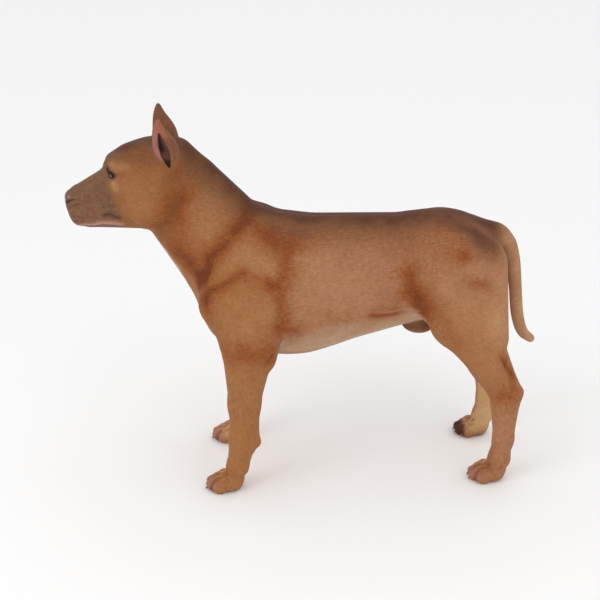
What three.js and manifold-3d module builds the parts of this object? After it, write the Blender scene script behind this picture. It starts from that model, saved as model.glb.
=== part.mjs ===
// A life-size statue of a smooth-coated, bull-type dog with cropped ears, standing square on four feet.
// Millimetres, +Z up. The dog looks along -Y and its left side is +X; the feet stand on Z = 0.
//
// The body is one smooth field of muscles and bones (balls and tapered limbs that melt into each other).
// Each named part is that field sampled inside its own box, thinned to a few hundred triangles, and
// parted from its neighbours by planes.
import * as THREE from "three";
import Module from "manifold-3d";

const wasm = await Module();
wasm.setup();

// ---------------------------------------------------------------- driving sizes
const GAP = 0.3; // clearance between neighbouring parts
const FORE_TRACK = 103; // the forelegs stand this far from the middle
const HIND_TRACK = 96; // the hocks stand this far from the middle
const FORE_Y = -111; // the wrists stand here along the body
const HIND_Y = 388; // the hocks stand here
const WRIST_Z = 60; // the forepaws are parted from the legs here
const ANKLE_Z = 54; // the hind paws are parted from the legs here
const ELBOW_Z = 284; // the forelegs are parted from the trunk here
const KNEE_Z = 338; // the hind legs are parted from the trunk here
const EYE = 10.5; // eyeball radius

// How far each foot stands from its mirrored place: [outwards, backwards].
const STANCE = {
  left: { fore: [-1, 0], hind: [-6, 0] },
  right: { fore: [2, 9], hind: [7, 5] },
};

const EAR_SET = { left: 3.3, right: -3.3 }; // how far back each ear is set from its mirrored place

// ---------------------------------------------------------------- the field
// Each form is a function (x, y, z) -> signed distance, with a blend radius k.
const clamp = THREE.MathUtils.clamp;

// Ellipsoid, turned about X by tilt (nose down positive) and about Z by turn, in degrees.
function ball([cx, cy, cz], [rx, ry, rz], k = 20, tilt = 0, turn = 0, roll = 0) {
  const euler = new THREE.Euler(...[tilt, roll, turn].map(THREE.MathUtils.degToRad), "ZXY");
  const m = new THREE.Matrix4().makeRotationFromEuler(euler).invert().elements;
  const smallest = Math.min(rx, ry, rz);
  const d = (x, y, z) => {
    const dx = x - cx, dy = y - cy, dz = z - cz;
    const u = m[0] * dx + m[4] * dy + m[8] * dz;
    const v = m[1] * dx + m[5] * dy + m[9] * dz;
    const w = m[2] * dx + m[6] * dy + m[10] * dz;
    const k0 = Math.hypot(u / rx, v / ry, w / rz);
    const k1 = Math.hypot(u / (rx * rx), v / (ry * ry), w / (rz * rz));
    return k1 < 1e-9 ? -smallest : (k0 * (k0 - 1)) / k1;
  };
  return { d, k };
}

// Tapered limb from a to b with end radii ra and rb; flat squeezes it sideways (along X).
function limb([ax, ay, az], [bx, by, bz], ra, rb, k = 20, flat = 1) {
  const ex = bx - ax, ey = by - ay, ez = bz - az;
  const ee = ex * ex + ey * ey + ez * ez;
  const d = (x, y, z) => {
    const t = clamp(((x - ax) * ex + (y - ay) * ey + (z - az) * ez) / ee, 0, 1);
    const vx = x - ax - t * ex, vy = y - ay - t * ey, vz = z - az - t * ez;
    const r = ra + (rb - ra) * t;
    const squeezed = Math.hypot(vx / flat, vy, vz);
    if (squeezed < 1e-6) return -r * flat;
    return ((squeezed - r) * Math.hypot(vx, vy, vz)) / squeezed;
  };
  return { d, k };
}

// A round bar along a smooth curve through the points, its radius eased from one to the next.
function sweep(points, radii, k, steps = 24) {
  const curve = (list) => new THREE.CatmullRomCurve3(list, false, "catmullrom", 0.5).getPoints(steps);
  const line = curve(points.map((p) => new THREE.Vector3(...p))).map((p) => p.toArray());
  const radius = curve(radii.map((r, i) => new THREE.Vector3(r, 0, 0))).map((p) => p.x);
  const bars = line.slice(1).map((p, i) => limb(line[i], p, radius[i], radius[i + 1], 0));
  return { d: (x, y, z) => Math.min(...bars.map((bar) => bar.d(x, y, z))), k };
}

// Smooth union and smooth difference of two distances.
function melt(a, b, k) {
  const h = Math.max(k - Math.abs(a - b), 0) / k;
  return Math.min(a, b) - (h * h * k) / 4;
}
const carve = (a, b, k) => -melt(-a, b, k);

// All forms of a list melted together, at (x, y, z).
function fuse(forms, x, y, z) {
  let d = 1e3;
  for (const f of forms) d = melt(d, f.d(x, y, z), f.k);
  return d;
}

// ---------------------------------------------------------------- the body's forms
const trunkForms = [
  ball([0, -22, 375], [100, 168, 127], 30), // ribs
  limb([0, 0, 379], [0, 208, 407], 134, 105, 20, 0.75), // loin and belly
  limb([10, -70, 495], [10, -20, 478], 36, 34, 25), // withers
  limb([8, -50, 480], [8, 194, 477], 34, 34, 12), // back
  ball([0, 267, 444], [84, 104, 77], 24), // croup
  ball([52, 260, 402], [44, 84, 72], 28), // hip
  ball([30, -140, 352], [48, 46, 60], 30), // breast
  ball([0, -70, 300], [50, 100, 50], 30), // brisket
];
const shoulderForms = [
  limb([50, -80, 484], [82, -136, 385], 34, 47, 30, 0.9), // shoulder blade
  limb([80, -146, 366], [98, -104, 300], 40, 42, 25, 0.85), // upper arm
  limb([74, -66, 410], [97, -82, 312], 40, 40, 25, 0.78), // triceps
];
const neckForms = [
  limb([0, -219, 554], [0, -134, 447], 83, 99, 30, 0.74),
  limb([0, -224, 630], [0, -126, 533], 31, 31, 12), // crest
];
const headForms = [
  ball([0, -260, 607], [57, 66, 58], 25), // cranium
  ball([26, -274, 618], [30, 50, 36], 22), // temple
  ball([0, -290, 628], [40, 52, 30.5], 8), // forehead
  ball([44, -274, 556], [30, 44, 47], 25), // cheek
  limb([46, -322, 590], [58, -262, 594], 12, 16, 24), // cheekbone
  limb([16, -341, 620], [35, -322, 628], 14, 13, 16), // brow
  limb([0, -336, 568], [0, -396, 547], 48, 35, 22, 0.85), // muzzle
  limb([28, -330, 530], [17, -401, 525], 20, 19, 16), // upper lip
  limb([0, -290, 520], [0, -386, 511], 25, 12, 14, 1.3), // lower jaw
];
const earForms = [
  sweep([[57, -243, 636], [61, -245, 660], [64, -252, 685], [66, -255.5, 699], [67, -255.5, 709.5]],
    [25, 22.5, 14.2, 8, 4], 20, 12),
];
// The ear's opening: a slit that is widest half way down.
const earHollow = sweep(
  [[77, -253, 688], [81, -250.5, 678], [84, -247, 666], [84.5, -243, 655], [83, -237.5, 642], [81, -234, 632]],
  [1.4, 4.2, 8, 8.4, 5.2, 1.6], 2.5, 15);
const foreForms = [
  limb([100, -101, 288], [FORE_TRACK, FORE_Y + 1, 178], 49, 29, 20, 0.78), // forearm
  limb([FORE_TRACK, FORE_Y + 1, 178], [FORE_TRACK, FORE_Y, 104], 29, 27.5, 14, 0.9), // wrist
  limb([FORE_TRACK, FORE_Y - 2, 104], [FORE_TRACK, FORE_Y - 14, 46], 26, 20, 12, 1.05), // pastern
  limb([FORE_TRACK, FORE_Y - 14, 46], [FORE_TRACK, FORE_Y - 26, 22], 20, 15, 10, 1.1), // instep
  ball([104, -66, 274], [16, 16, 26], 12), // point of the elbow
  ball([FORE_TRACK + 2, -88, 98], [11, 8, 9], 6), // wrist pad
];
const hindForms = [
  limb([56, 270, 424], [82, 280, 324], 76, 42, 30, 0.62), // thigh
  limb([49, 329, 424], [80, 347, 292], 56.5, 42, 30, 0.72), // buttock
  limb([86, 302, 306], [90, 354, 238], 39, 33, 22, 0.8), // calf
  limb([90, 354, 238], [93, 385, 174], 31, 25, 18, 0.82), // shin
  limb([90, 374, 258], [94, 410, 188], 12, 9, 12), // heel tendon
  ball([94, 407, 180], [12, 14, 15], 10), // point of the hock
  limb([94, 388, 156], [HIND_TRACK, HIND_Y + 1, 84], 27, 19.5, 14, 0.9), // hind cannon
  limb([HIND_TRACK, HIND_Y + 1, 84], [HIND_TRACK, HIND_Y - 5, 42], 19.5, 20, 10),
  limb([HIND_TRACK, HIND_Y - 5, 42], [HIND_TRACK, HIND_Y - 18, 22], 20, 15, 10, 1.1), // instep
];
const tailForm = sweep(
  [[0, 336, 470], [0, 370, 472], [0, 391, 457], [0, 400, 441], [0, 408, 411],
    [0, 415, 360], [0, 420, 318], [0, 428, 285], [0, 437, 268], [0, 451, 256.5]],
  [28, 22, 17, 15, 13.6, 12.4, 12.2, 11.4, 10.4, 8.4], 20, 27);
const sheathForms = [ball([0, 228, 292], [16, 31, 19], 10, -8)];

// A paw under a leg that ends at (cx, cy): four toes, each a knuckle and a drooping tip, over its pads.
const TOES = [[-22, 41], [-8.4, 53.5], [8.4, 53.5], [22, 41]]; // [across, forwards]
function pawForms(cx, cy) {
  const forms = [
    ball([cx, cy - 13, 18], [25.5, 27, 13], 10), // knuckles
    ball([cx, cy - 6.5, 14], [21, 16, 14], 8), // heel pad
    ball([cx, cy - 20, 8], [25, 28, 10], 8), // sole
  ];
  for (const [across, reach] of TOES) {
    const x = cx + across, tipY = cy - reach;
    forms.push(limb([cx + across * 0.7, cy - 14, 18], [x, tipY + 17, 17.5], 10, 10.6, 5));
    forms.push(limb([x, tipY + 16, 16.8], [x, tipY + 4, 12.4], 10.2, 8.8, 3.5));
    forms.push(ball([x, tipY + 9, 8], [8.8, 12, 9], 3.5));
  }
  return forms;
}
const FORE_PAW_Y = FORE_Y - 16, HIND_PAW_Y = HIND_Y - 5;
const forePawForms = pawForms(FORE_TRACK, FORE_PAW_Y);
const hindPawForms = pawForms(HIND_TRACK, HIND_PAW_Y);

const coreForms = [
  trunkForms, shoulderForms, neckForms, headForms, earForms, foreForms, hindForms, sheathForms,
  forePawForms, hindPawForms,
].flat();

// Moves a point back to where it would be if all four feet stood alike and the ears were a pair.
function unstance(x, y, z) {
  const hand = x < 0 ? "right" : "left";
  const planted = 1 - THREE.MathUtils.smoothstep(z, 60, 236);
  const [out, back] = STANCE[hand][y > 110 ? "hind" : "fore"];
  const eared = THREE.MathUtils.smoothstep(z, 628, 662) * THREE.MathUtils.smoothstep(Math.abs(x), 18, 44);
  return [Math.abs(x) - out * planted, y - back * planted - EAR_SET[hand] * eared, z];
}

// The body without its tail, and the tail.
function body(x, y, z) {
  const p = unstance(x, y, z);
  return carve(fuse(coreForms, ...p), earHollow.d(...p), earHollow.k);
}
const tail = tailForm.d;

// The line that parts the tail from the rump, as (y, z) points, and the body with a stub of tail before it.
const TAIL_UNDER = [370, 440], TAIL_TOP = [402, 474];
function bodyWithStub(x, y, z) {
  const [uy, uz] = [TAIL_TOP[0] - TAIL_UNDER[0], TAIL_TOP[1] - TAIL_UNDER[1]];
  const behind = ((y - TAIL_UNDER[0]) * uz - (z - TAIL_UNDER[1]) * uy) / Math.hypot(uy, uz);
  return melt(body(x, y, z), Math.max(tail(x, y, z), behind - 6), 20);
}

// ---------------------------------------------------------------- from field to mesh
// The six tetrahedra of a cube, as corner numbers (bit 0 = +x, bit 1 = +y, bit 2 = +z).
const TETS = [[0, 1, 3, 7], [0, 3, 2, 7], [0, 2, 6, 7], [0, 6, 4, 7], [0, 4, 5, 7], [0, 5, 1, 7]];

// Marching tetrahedra over a box. Returns {points: [[x, y, z]...], faces: [[a, b, c]...]}, closed.
function sample(field, [lo, hi], cell) {
  const n = lo.map((v, i) => Math.ceil((hi[i] - v) / cell) + 1);
  const at = (i, j, k) => i + n[0] * (j + n[1] * k);
  const values = new Float64Array(n[0] * n[1] * n[2]);
  // A clump of the grid far from the surface takes one value; the others are worked out point by point.
  const CLUMP = 4, away = CLUMP * cell * 2;
  for (let k0 = 0; k0 < n[2]; k0 += CLUMP)
    for (let j0 = 0; j0 < n[1]; j0 += CLUMP)
      for (let i0 = 0; i0 < n[0]; i0 += CLUMP) {
        const centre = [i0, j0, k0].map((v, i) => lo[i] + (v + (CLUMP - 1) / 2) * cell);
        const rough = field(...centre);
        for (let k = k0; k < Math.min(k0 + CLUMP, n[2]); k++)
          for (let j = j0; j < Math.min(j0 + CLUMP, n[1]); j++)
            for (let i = i0; i < Math.min(i0 + CLUMP, n[0]); i++) {
              const rim = !i || !j || !k || i === n[0] - 1 || j === n[1] - 1 || k === n[2] - 1;
              const v = Math.abs(rough) > away
                ? rough
                : field(lo[0] + i * cell, lo[1] + j * cell, lo[2] + k * cell);
              values[at(i, j, k)] = rim ? Math.max(v, 0.5 * cell) : v || 1e-6;
            }
      }
  const points = [], faces = [], made = new Map();
  const place = (g) => [g % n[0], Math.floor(g / n[0]) % n[1], Math.floor(g / (n[0] * n[1]))];
  const crossing = (a, b) => {
    if (a > b) [a, b] = [b, a];
    const key = a * values.length + b;
    if (!made.has(key)) {
      const t = clamp(values[a] / (values[a] - values[b]), 0.02, 0.98);
      const p = place(a), q = place(b);
      made.set(key, points.length);
      points.push(p.map((v, i) => lo[i] + (v + (q[i] - v) * t) * cell));
    }
    return made.get(key);
  };
  for (let k = 0; k < n[2] - 1; k++)
    for (let j = 0; j < n[1] - 1; j++)
      for (let i = 0; i < n[0] - 1; i++) {
        const corner = (c) => at(i + (c & 1), j + ((c >> 1) & 1), k + ((c >> 2) & 1));
        let below = 0;
        for (let c = 0; c < 8; c++) below += values[corner(c)] < 0;
        if (below === 0 || below === 8) continue;
        for (const tet of TETS) {
          const c = tet.map(corner);
          const ins = [0, 1, 2, 3].filter((v) => values[c[v]] < 0);
          const outs = [0, 1, 2, 3].filter((v) => values[c[v]] >= 0);
          if (!ins.length || !outs.length) continue;
          // An even order of (ins, outs) keeps the tetrahedron's own handedness.
          const order = [...ins, ...outs];
          let swaps = 0;
          for (let a = 0; a < 4; a++) for (let b = a + 1; b < 4; b++) swaps += order[a] > order[b];
          let f;
          if (ins.length === 1) f = [outs.map((o) => crossing(c[ins[0]], c[o]))];
          else if (ins.length === 3) f = [ins.map((o) => crossing(c[o], c[outs[0]]))];
          else {
            const [p, q, r, s] = [
              crossing(c[ins[0]], c[outs[0]]), crossing(c[ins[0]], c[outs[1]]),
              crossing(c[ins[1]], c[outs[1]]), crossing(c[ins[1]], c[outs[0]]),
            ];
            f = [[p, q, r], [p, r, s]];
          }
          for (const t of f) faces.push(swaps % 2 ? [t[0], t[2], t[1]] : t);
        }
      }
  return { points, faces };
}

// Evens out a sampled mesh: each point moves to the middle of its neighbours, then back to the surface.
function relax(mesh, field, rounds = 3) {
  const { points, faces } = mesh;
  const near = points.map(() => new Set());
  for (const f of faces) for (let i = 0; i < 3; i++) near[f[i]].add(f[(i + 1) % 3]).add(f[(i + 2) % 3]);
  const step = 0.5;
  for (let round = 0; round < rounds; round++) {
    const moved = points.map((_, v) => {
      const sum = [0, 0, 0];
      for (const w of near[v]) points[w].forEach((c, i) => (sum[i] += c / near[v].size));
      return sum;
    });
    moved.forEach((p, v) => {
      const [x, y, z] = p, f = field(x, y, z);
      const g = [field(x + step, y, z) - f, field(x, y + step, z) - f, field(x, y, z + step) - f];
      const slope = Math.hypot(...g) / step;
      // Points on the box's own faces keep their place.
      if (Math.abs(field(...points[v])) > 0.6) return;
      if (slope < 0.2) return;
      points[v] = p.map((c, i) => c - (f * g[i]) / step / (slope * slope));
    });
  }
  return mesh;
}

// Quadric edge collapse: thins a closed mesh to about `target` triangles, keeping its shape.
function thin({ points, faces }, target) {
  const quad = points.map(() => new Float64Array(10));
  const around = points.map(() => new Set());
  const live = faces.map(() => true);
  const normal = ([a, b, c], move = -1, to = null) => {
    const [p, q, r] = [a, b, c].map((v) => (v === move ? to : points[v]));
    const u = q.map((v, i) => v - p[i]), w = r.map((v, i) => v - p[i]);
    return [u[1] * w[2] - u[2] * w[1], u[2] * w[0] - u[0] * w[2], u[0] * w[1] - u[1] * w[0]];
  };
  faces.forEach((f, i) => {
    const n = normal(f), area = Math.hypot(...n) || 1e-12;
    const [a, b, c] = n.map((v) => v / area);
    const p = points[f[0]];
    const d = -(a * p[0] + b * p[1] + c * p[2]);
    const plane = [a * a, a * b, a * c, a * d, b * b, b * c, b * d, c * c, c * d, d * d];
    for (const v of f) {
      around[v].add(i);
      plane.forEach((term, j) => (quad[v][j] += term * area));
    }
  });
  const error = (q, [x, y, z]) =>
    q[0] * x * x + 2 * q[1] * x * y + 2 * q[2] * x * z + 2 * q[3] * x + q[4] * y * y +
    2 * q[5] * y * z + 2 * q[6] * y + q[7] * z * z + 2 * q[8] * z + q[9];
  const best = (a, b) => {
    const q = quad[a].map((v, i) => v + quad[b][i]);
    const det = q[0] * (q[4] * q[7] - q[5] * q[5]) - q[1] * (q[1] * q[7] - q[5] * q[2]) +
      q[2] * (q[1] * q[5] - q[4] * q[2]);
    const mid = points[a].map((v, i) => (v + points[b][i]) / 2);
    const span = Math.hypot(...points[a].map((v, i) => v - points[b][i]));
    const tries = [mid, points[a], points[b]];
    if (Math.abs(det) > 1e-3 * (q[0] + q[4] + q[7]) ** 3 * 1e-3) {
      const r = [-q[3], -q[6], -q[8]];
      const solve = [
        (r[0] * (q[4] * q[7] - q[5] * q[5]) - q[1] * (r[1] * q[7] - q[5] * r[2]) +
          q[2] * (r[1] * q[5] - q[4] * r[2])) / det,
        (q[0] * (r[1] * q[7] - q[5] * r[2]) - r[0] * (q[1] * q[7] - q[5] * q[2]) +
          q[2] * (q[1] * r[2] - r[1] * q[2])) / det,
        (q[0] * (q[4] * r[2] - r[1] * q[5]) - q[1] * (q[1] * r[2] - r[1] * q[2]) +
          r[0] * (q[1] * q[5] - q[4] * q[2])) / det,
      ];
      if (Math.hypot(...solve.map((v, i) => v - mid[i])) < 2 * span) tries.unshift(solve);
    }
    let pick = null, cost = Infinity;
    for (const t of tries) {
      const e = error(q, t) + 1e-4 * span * span;
      if (e < cost - 1e-12) [pick, cost] = [t, e];
    }
    return { a, b, to: pick, cost };
  };
  // A binary heap of candidate collapses; stale ones are skipped by their stamps.
  const heap = [], stamp = new Int32Array(points.length);
  const swap = (i, j) => ([heap[i], heap[j]] = [heap[j], heap[i]]);
  const push = (e) => {
    e.sa = stamp[e.a];
    e.sb = stamp[e.b];
    heap.push(e);
    for (let i = heap.length - 1; i > 0; ) {
      const up = (i - 1) >> 1;
      if (heap[up].cost <= heap[i].cost) break;
      swap(i, up);
      i = up;
    }
  };
  const pop = () => {
    const top = heap[0], last = heap.pop();
    if (heap.length) {
      heap[0] = last;
      for (let i = 0; ; ) {
        let low = i;
        for (const c of [2 * i + 1, 2 * i + 2])
          if (c < heap.length && heap[c].cost < heap[low].cost) low = c;
        if (low === i) break;
        swap(i, low);
        i = low;
      }
    }
    return top;
  };
  const neighbours = (v) => {
    const out = new Set();
    for (const f of around[v]) for (const w of faces[f]) if (w !== v) out.add(w);
    return out;
  };
  points.forEach((_, v) => neighbours(v).forEach((w) => v < w && push(best(v, w))));
  let left = faces.length;
  while (left > target && heap.length) {
    const e = pop();
    if (stamp[e.a] !== e.sa || stamp[e.b] !== e.sb) continue;
    const na = neighbours(e.a), nb = neighbours(e.b);
    let shared = 0;
    for (const v of na) shared += nb.has(v);
    if (shared !== 2) continue;
    const turns = [e.a, e.b].some((v) =>
      [...around[v]].some((f) => {
        if (faces[f].includes(e.a) && faces[f].includes(e.b)) return false;
        const was = normal(faces[f]), now = normal(faces[f], v, e.to);
        const dot = was[0] * now[0] + was[1] * now[1] + was[2] * now[2];
        return dot < 0.3 * Math.hypot(...was) * Math.hypot(...now);
      }),
    );
    if (turns) continue;
    points[e.a] = e.to;
    quad[e.b].forEach((v, i) => (quad[e.a][i] += v));
    for (const f of around[e.b]) {
      if (faces[f].includes(e.a)) {
        live[f] = false;
        left--;
        for (const v of faces[f]) if (v !== e.b) around[v].delete(f);
      } else {
        faces[f] = faces[f].map((v) => (v === e.b ? e.a : v));
        around[e.a].add(f);
      }
    }
    around[e.b].clear();
    stamp[e.b] = -1;
    stamp[e.a]++;
    for (const w of neighbours(e.a)) push(best(e.a, w));
  }
  return { points, faces: faces.filter((_, i) => live[i]) };
}

// ---------------------------------------------------------------- solids
function toSolid({ points, faces }) {
  const used = new Map();
  const verts = [];
  const index = (v) => {
    if (!used.has(v)) {
      used.set(v, verts.length / 3);
      verts.push(...points[v]);
    }
    return used.get(v);
  };
  const triVerts = Uint32Array.from(faces.flat().map(index));
  return new wasm.Manifold(new wasm.Mesh({ numProp: 3, vertProperties: Float32Array.from(verts), triVerts }));
}

function geometryToSolid(geometry) {
  const g = geometry.clone();
  const pos = g.getAttribute("position");
  const key = new Map(), points = [], faces = [], same = [];
  for (let i = 0; i < pos.count; i++) {
    const p = [pos.getX(i), pos.getY(i), pos.getZ(i)];
    const name = p.map((v) => Math.round(v * 1e3)).join();
    if (!key.has(name)) {
      key.set(name, points.length);
      points.push(p);
    }
    same.push(key.get(name));
  }
  const idx = g.index ? [...g.index.array] : same.map((_, i) => i);
  for (let i = 0; i < idx.length; i += 3) {
    const f = [same[idx[i]], same[idx[i + 1]], same[idx[i + 2]]];
    if (new Set(f).size === 3) faces.push(f);
  }
  return toSolid({ points, faces });
}

// Everything on the right of a line seen from the dog's left: from (y0, z0) to (y1, z1), all the way across.
const FAR = 2000;
function rightOf([y0, z0], [y1, z1], inset = GAP / 2) {
  const box = new THREE.BoxGeometry(FAR, FAR, FAR);
  box.translate(0, 0, -FAR / 2 - inset);
  box.rotateX(Math.atan2(z1 - z0, y1 - y0));
  box.translate(0, y0, z0);
  return geometryToSolid(box);
}

function block(lo, hi, grow = 0) {
  const box = new THREE.BoxGeometry(...hi.map((v, i) => v - lo[i] + 2 * grow));
  box.translate(...hi.map((v, i) => (v + lo[i]) / 2));
  return geometryToSolid(box);
}

// A curved, tapered spike from a to b, drooping by `droop` half way, with `sides` sides.
function spike(a, b, r0, r1, droop, sides = 5, rings = 3) {
  const from = new THREE.Vector3(...a), to = new THREE.Vector3(...b);
  const axis = to.clone().sub(from).normalize();
  const side = new THREE.Vector3(0, 0, 1).cross(axis).normalize(), up = axis.clone().cross(side);
  const points = [], faces = [];
  for (let r = 0; r < rings; r++) {
    const t = r / (rings - 1);
    const c = from.clone().lerp(to, t).addScaledVector(up, -4 * droop * t * (t - 1));
    for (let i = 0; i < sides; i++) {
      const w = (2 * Math.PI * i) / sides, radius = r0 + (r1 - r0) * t;
      const p = c.clone().addScaledVector(side, radius * Math.cos(w)).addScaledVector(up, radius * Math.sin(w));
      points.push(p.toArray());
    }
  }
  for (let r = 0; r < rings - 1; r++)
    for (let i = 0; i < sides; i++) {
      const j = (i + 1) % sides, p = r * sides, q = p + sides;
      faces.push([p + i, p + j, q + j], [p + i, q + j, q + i]);
    }
  const last = (rings - 1) * sides;
  for (let i = 1; i < sides - 1; i++) faces.push([0, i + 1, i], [last, last + i, last + i + 1]);
  return toSolid({ points, faces });
}

function globe(centre, radii, detail = 2) {
  const g = new THREE.IcosahedronGeometry(1, detail);
  g.scale(...radii);
  g.translate(...centre);
  return geometryToSolid(g);
}

// ---------------------------------------------------------------- the parts
const group = new THREE.Group();
const dog = new THREE.Group();
group.add(dog);
const paint = (color, roughness) => new THREE.MeshStandardMaterial({ color, roughness, metalness: 0 });
const coat = paint(0x9a6544, 0.6);
const eyePaint = paint(0x160f0c, 0.12);
const nosePaint = paint(0x8a4a3c, 0.35);
const clawPaint = paint(0xb98a72, 0.45);

function addSolid(name, solid, material) {
  const m = solid.getMesh();
  const positions = new Float32Array(m.numVert * 3);
  for (let i = 0; i < m.numVert; i++)
    positions.set(m.vertProperties.subarray(i * m.numProp, i * m.numProp + 3), i * 3);
  const g = new THREE.BufferGeometry();
  g.setAttribute("position", new THREE.BufferAttribute(positions, 3));
  g.setIndex(new THREE.BufferAttribute(Uint32Array.from(m.triVerts), 1));
  g.computeVertexNormals();
  const mesh = new THREE.Mesh(g, material);
  mesh.name = name;
  dog.add(mesh);
  return mesh;
}

const FLOOR = block([-500, -700, 0], [500, 700, 1000]);

// A part: the field inside a box, thinned, kept to some solids and cut by others.
function form(field, box, cell, triangles, keep = [], cuts = []) {
  let solid = toSolid(thin(relax(sample(field, box, cell), field), triangles));
  for (const k of keep) solid = solid.intersect(k);
  for (const c of cuts) solid = solid.subtract(c);
  return largest(solid);
}
const largest = (solid) => solid.decompose().sort((p, q) => q.volume() - p.volume())[0];

// A box on one side of the dog: on the left as given, on the right mirrored.
const onSide = (side, [lo, hi]) =>
  side > 0 ? [lo, hi] : [[-hi[0], lo[1], lo[2]], [-lo[0], hi[1], hi[2]]];

// ---------------------------------------------------------------- where the parts meet
const NAPE = [-198, 662], THROAT = [-264, 474]; // head and neck, as (y, z) points
const WITHERS = [-96, 560], CHEST = [-212, 326]; // neck and trunk
const LIPS = [[-440, 502.5], [-326, 506]]; // upper and lower jaw
const FORELEG = [[60, -215, WRIST_Z], [190, -20, ELBOW_Z]];
const HINDLEG = [[32, 212, ANKLE_Z], [190, 470, KNEE_Z]];
const FOREPAW = [[60, -230, -20], [190, -60, WRIST_Z - GAP]];
const HINDPAW = [[45, 290, -20], [190, 440, ANKLE_Z - GAP]];

function jawZone(grow) {
  return block([-70, -460, 470], [70, -328, 530], grow).intersect(rightOf(...LIPS, -grow));
}
function tailZone(grow) {
  return block([-24, 366, 430], [24, 430, 500], grow).intersect(rightOf(TAIL_UNDER, TAIL_TOP, -grow));
}
// Above the ear's foot: a box that leans outwards with the ear.
function earZone(side, grow) {
  const box = new THREE.BoxGeometry(90 + 2 * grow, 110 + 2 * grow, 120);
  box.translate(0, 0, 60 - grow);
  box.rotateY(side * THREE.MathUtils.degToRad(35));
  box.translate(side * 58, -245, 650);
  return geometryToSolid(box);
}

// ---------------------------------------------------------------- the parts
// Head: the eyeballs sit in sockets behind almond openings, the nose pad sits in the end of the muzzle.
const NOSE_BOX = [[-26, -438, 530], [26, -396, 574]];
const noseForms = [
  ball([0, -416, 558], [18, 15, 12], 6), // pad
  ball([11, -415, 550], [9, 14, 9], 6), // wing
  ball([0, -419, 543], [5, 9, 10], 5), // foot of the pad
];
const noseBody = form((x, y, z) => fuse(noseForms, Math.abs(x), y, z), NOSE_BOX, 2.5, 130);
const nostrils = [1, -1].map((side) => globe([side * 11, -430, 551], [4, 5, 3.4], 1));

let head = form(body, [[-92, -445, 462], [92, -180, 690]], 3.6, 1560, [rightOf(NAPE, THROAT)]);
for (const side of [1, -1]) {
  const hand = side > 0 ? "left" : "right";
  const [x, y, z] = [side * 36, -333, 606];
  const opening = new THREE.IcosahedronGeometry(1, 1);
  opening.scale(11, 13, 6);
  opening.rotateX(THREE.MathUtils.degToRad(-12));
  opening.rotateZ(side * THREE.MathUtils.degToRad(-42));
  opening.translate(x + side * 8, y - 7, z);
  head = head.subtract(earZone(side, GAP))
    .subtract(globe([x, y, z], [EYE + GAP, EYE + GAP, EYE + GAP]))
    .subtract(geometryToSolid(opening));
  addSolid(hand + "_eye", globe([x, y, z], [EYE, EYE, EYE]), eyePaint);
  addSolid(hand + "_ear", form(body, onSide(side, [[18, -300, 626], [112, -195, 724]]), 3, 360,
    [earZone(side, 0)]), coat);
}
head = head.subtract(noseBody);
addSolid("nose", noseBody.subtract(nostrils[0]).subtract(nostrils[1])
  .translate([0, 414, -551]).scale([0.97, 0.97, 0.97]).translate([0, -414, 551]), nosePaint);
addSolid("lower_jaw", largest(head.intersect(jawZone(-GAP / 2))), coat);
head = largest(head.subtract(jawZone(GAP / 2)));
addSolid("head", head, coat);

addSolid("neck", form(body, [[-110, -300, 310], [110, -70, 690]], 8, 420,
  [rightOf(THROAT, NAPE), rightOf(WITHERS, CHEST)]), coat);
const tailBox = [[-40, 300, 240], [40, 465, 510]];
const tailRoom = form((x, y, z) => tail(x, y, z) - 2.5, tailBox, 6, 260, [rightOf(TAIL_UNDER, TAIL_TOP, -GAP)]);
addSolid("trunk", form(bodyWithStub, [[-160, -240, 226], [160, 430, 580]], 7, 1500,
  [rightOf(CHEST, WITHERS)],
  [tailZone(GAP), tailRoom, ...[1, -1].flatMap((side) => [
    block(...onSide(side, FORELEG), GAP), block(...onSide(side, HINDLEG), GAP)])]), coat);
addSolid("tail", form(tail, tailBox, 5, 260,
  [rightOf(TAIL_UNDER, TAIL_TOP)]), coat);

// Legs and paws. Each claw sits in a pocket of its toe, clear of the floor.
const LEGS = [
  ["foreleg", "forepaw", "fore", FORELEG, FOREPAW, FORE_TRACK, FORE_PAW_Y, 320],
  ["hind_leg", "hind_paw", "hind", HINDLEG, HINDPAW, HIND_TRACK, HIND_PAW_Y, 440],
];
for (const side of [1, -1]) {
  const hand = side > 0 ? "left" : "right";
  for (const [legName, pawName, pair, legBox, pawBox, track, pawY, triangles] of LEGS) {
    const [out, back] = STANCE[hand][pair];
    const grown = onSide(side, legBox).map((c, i) => c.map((v) => v + (i ? 9 : -9)));
    addSolid(`${hand}_${legName}`, form(body, grown, 5.5, triangles, [block(...onSide(side, legBox))]), coat);
    let paw = form(body, onSide(side, pawBox).map((c, i) => c.map((v) => v + (i ? 9 : 0))), 3.2, 400,
      [block(...onSide(side, pawBox)), FLOOR]);
    TOES.forEach(([across, reach], i) => {
      const x = side * (track + out + across), y = pawY + back - reach;
      const from = [x, y + 2, 13], to = [x, y - 6, 3.6];
      paw = paw.subtract(spike([x, y + 2 + GAP, 13 + GAP], to, 3.4 + GAP, 1.8 + GAP, 1.2));
      addSolid(`${hand}_${pair}_claw_${i + 1}`, spike(from, to, 3.4, 1.8, 1.2), clawPaint);
    });
    addSolid(`${hand}_${pawName}`, largest(paw), coat);
  }
}

// The part's origin is the middle of its own box, on the floor.
const box = new THREE.Box3().setFromObject(dog, true);
dog.position.set(-(box.min.x + box.max.x) / 2, -(box.min.y + box.max.y) / 2, 0);

export default group;
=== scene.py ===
"""A painted, life-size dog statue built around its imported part.

One skin covers the flesh; the eyes, the claws and a plain floor are pieces of their own.
"""
import math

import bmesh
import bpy
import numpy as np
from bpy.props import FloatProperty, FloatVectorProperty, PointerProperty
from mathutils import Matrix, Vector


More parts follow.
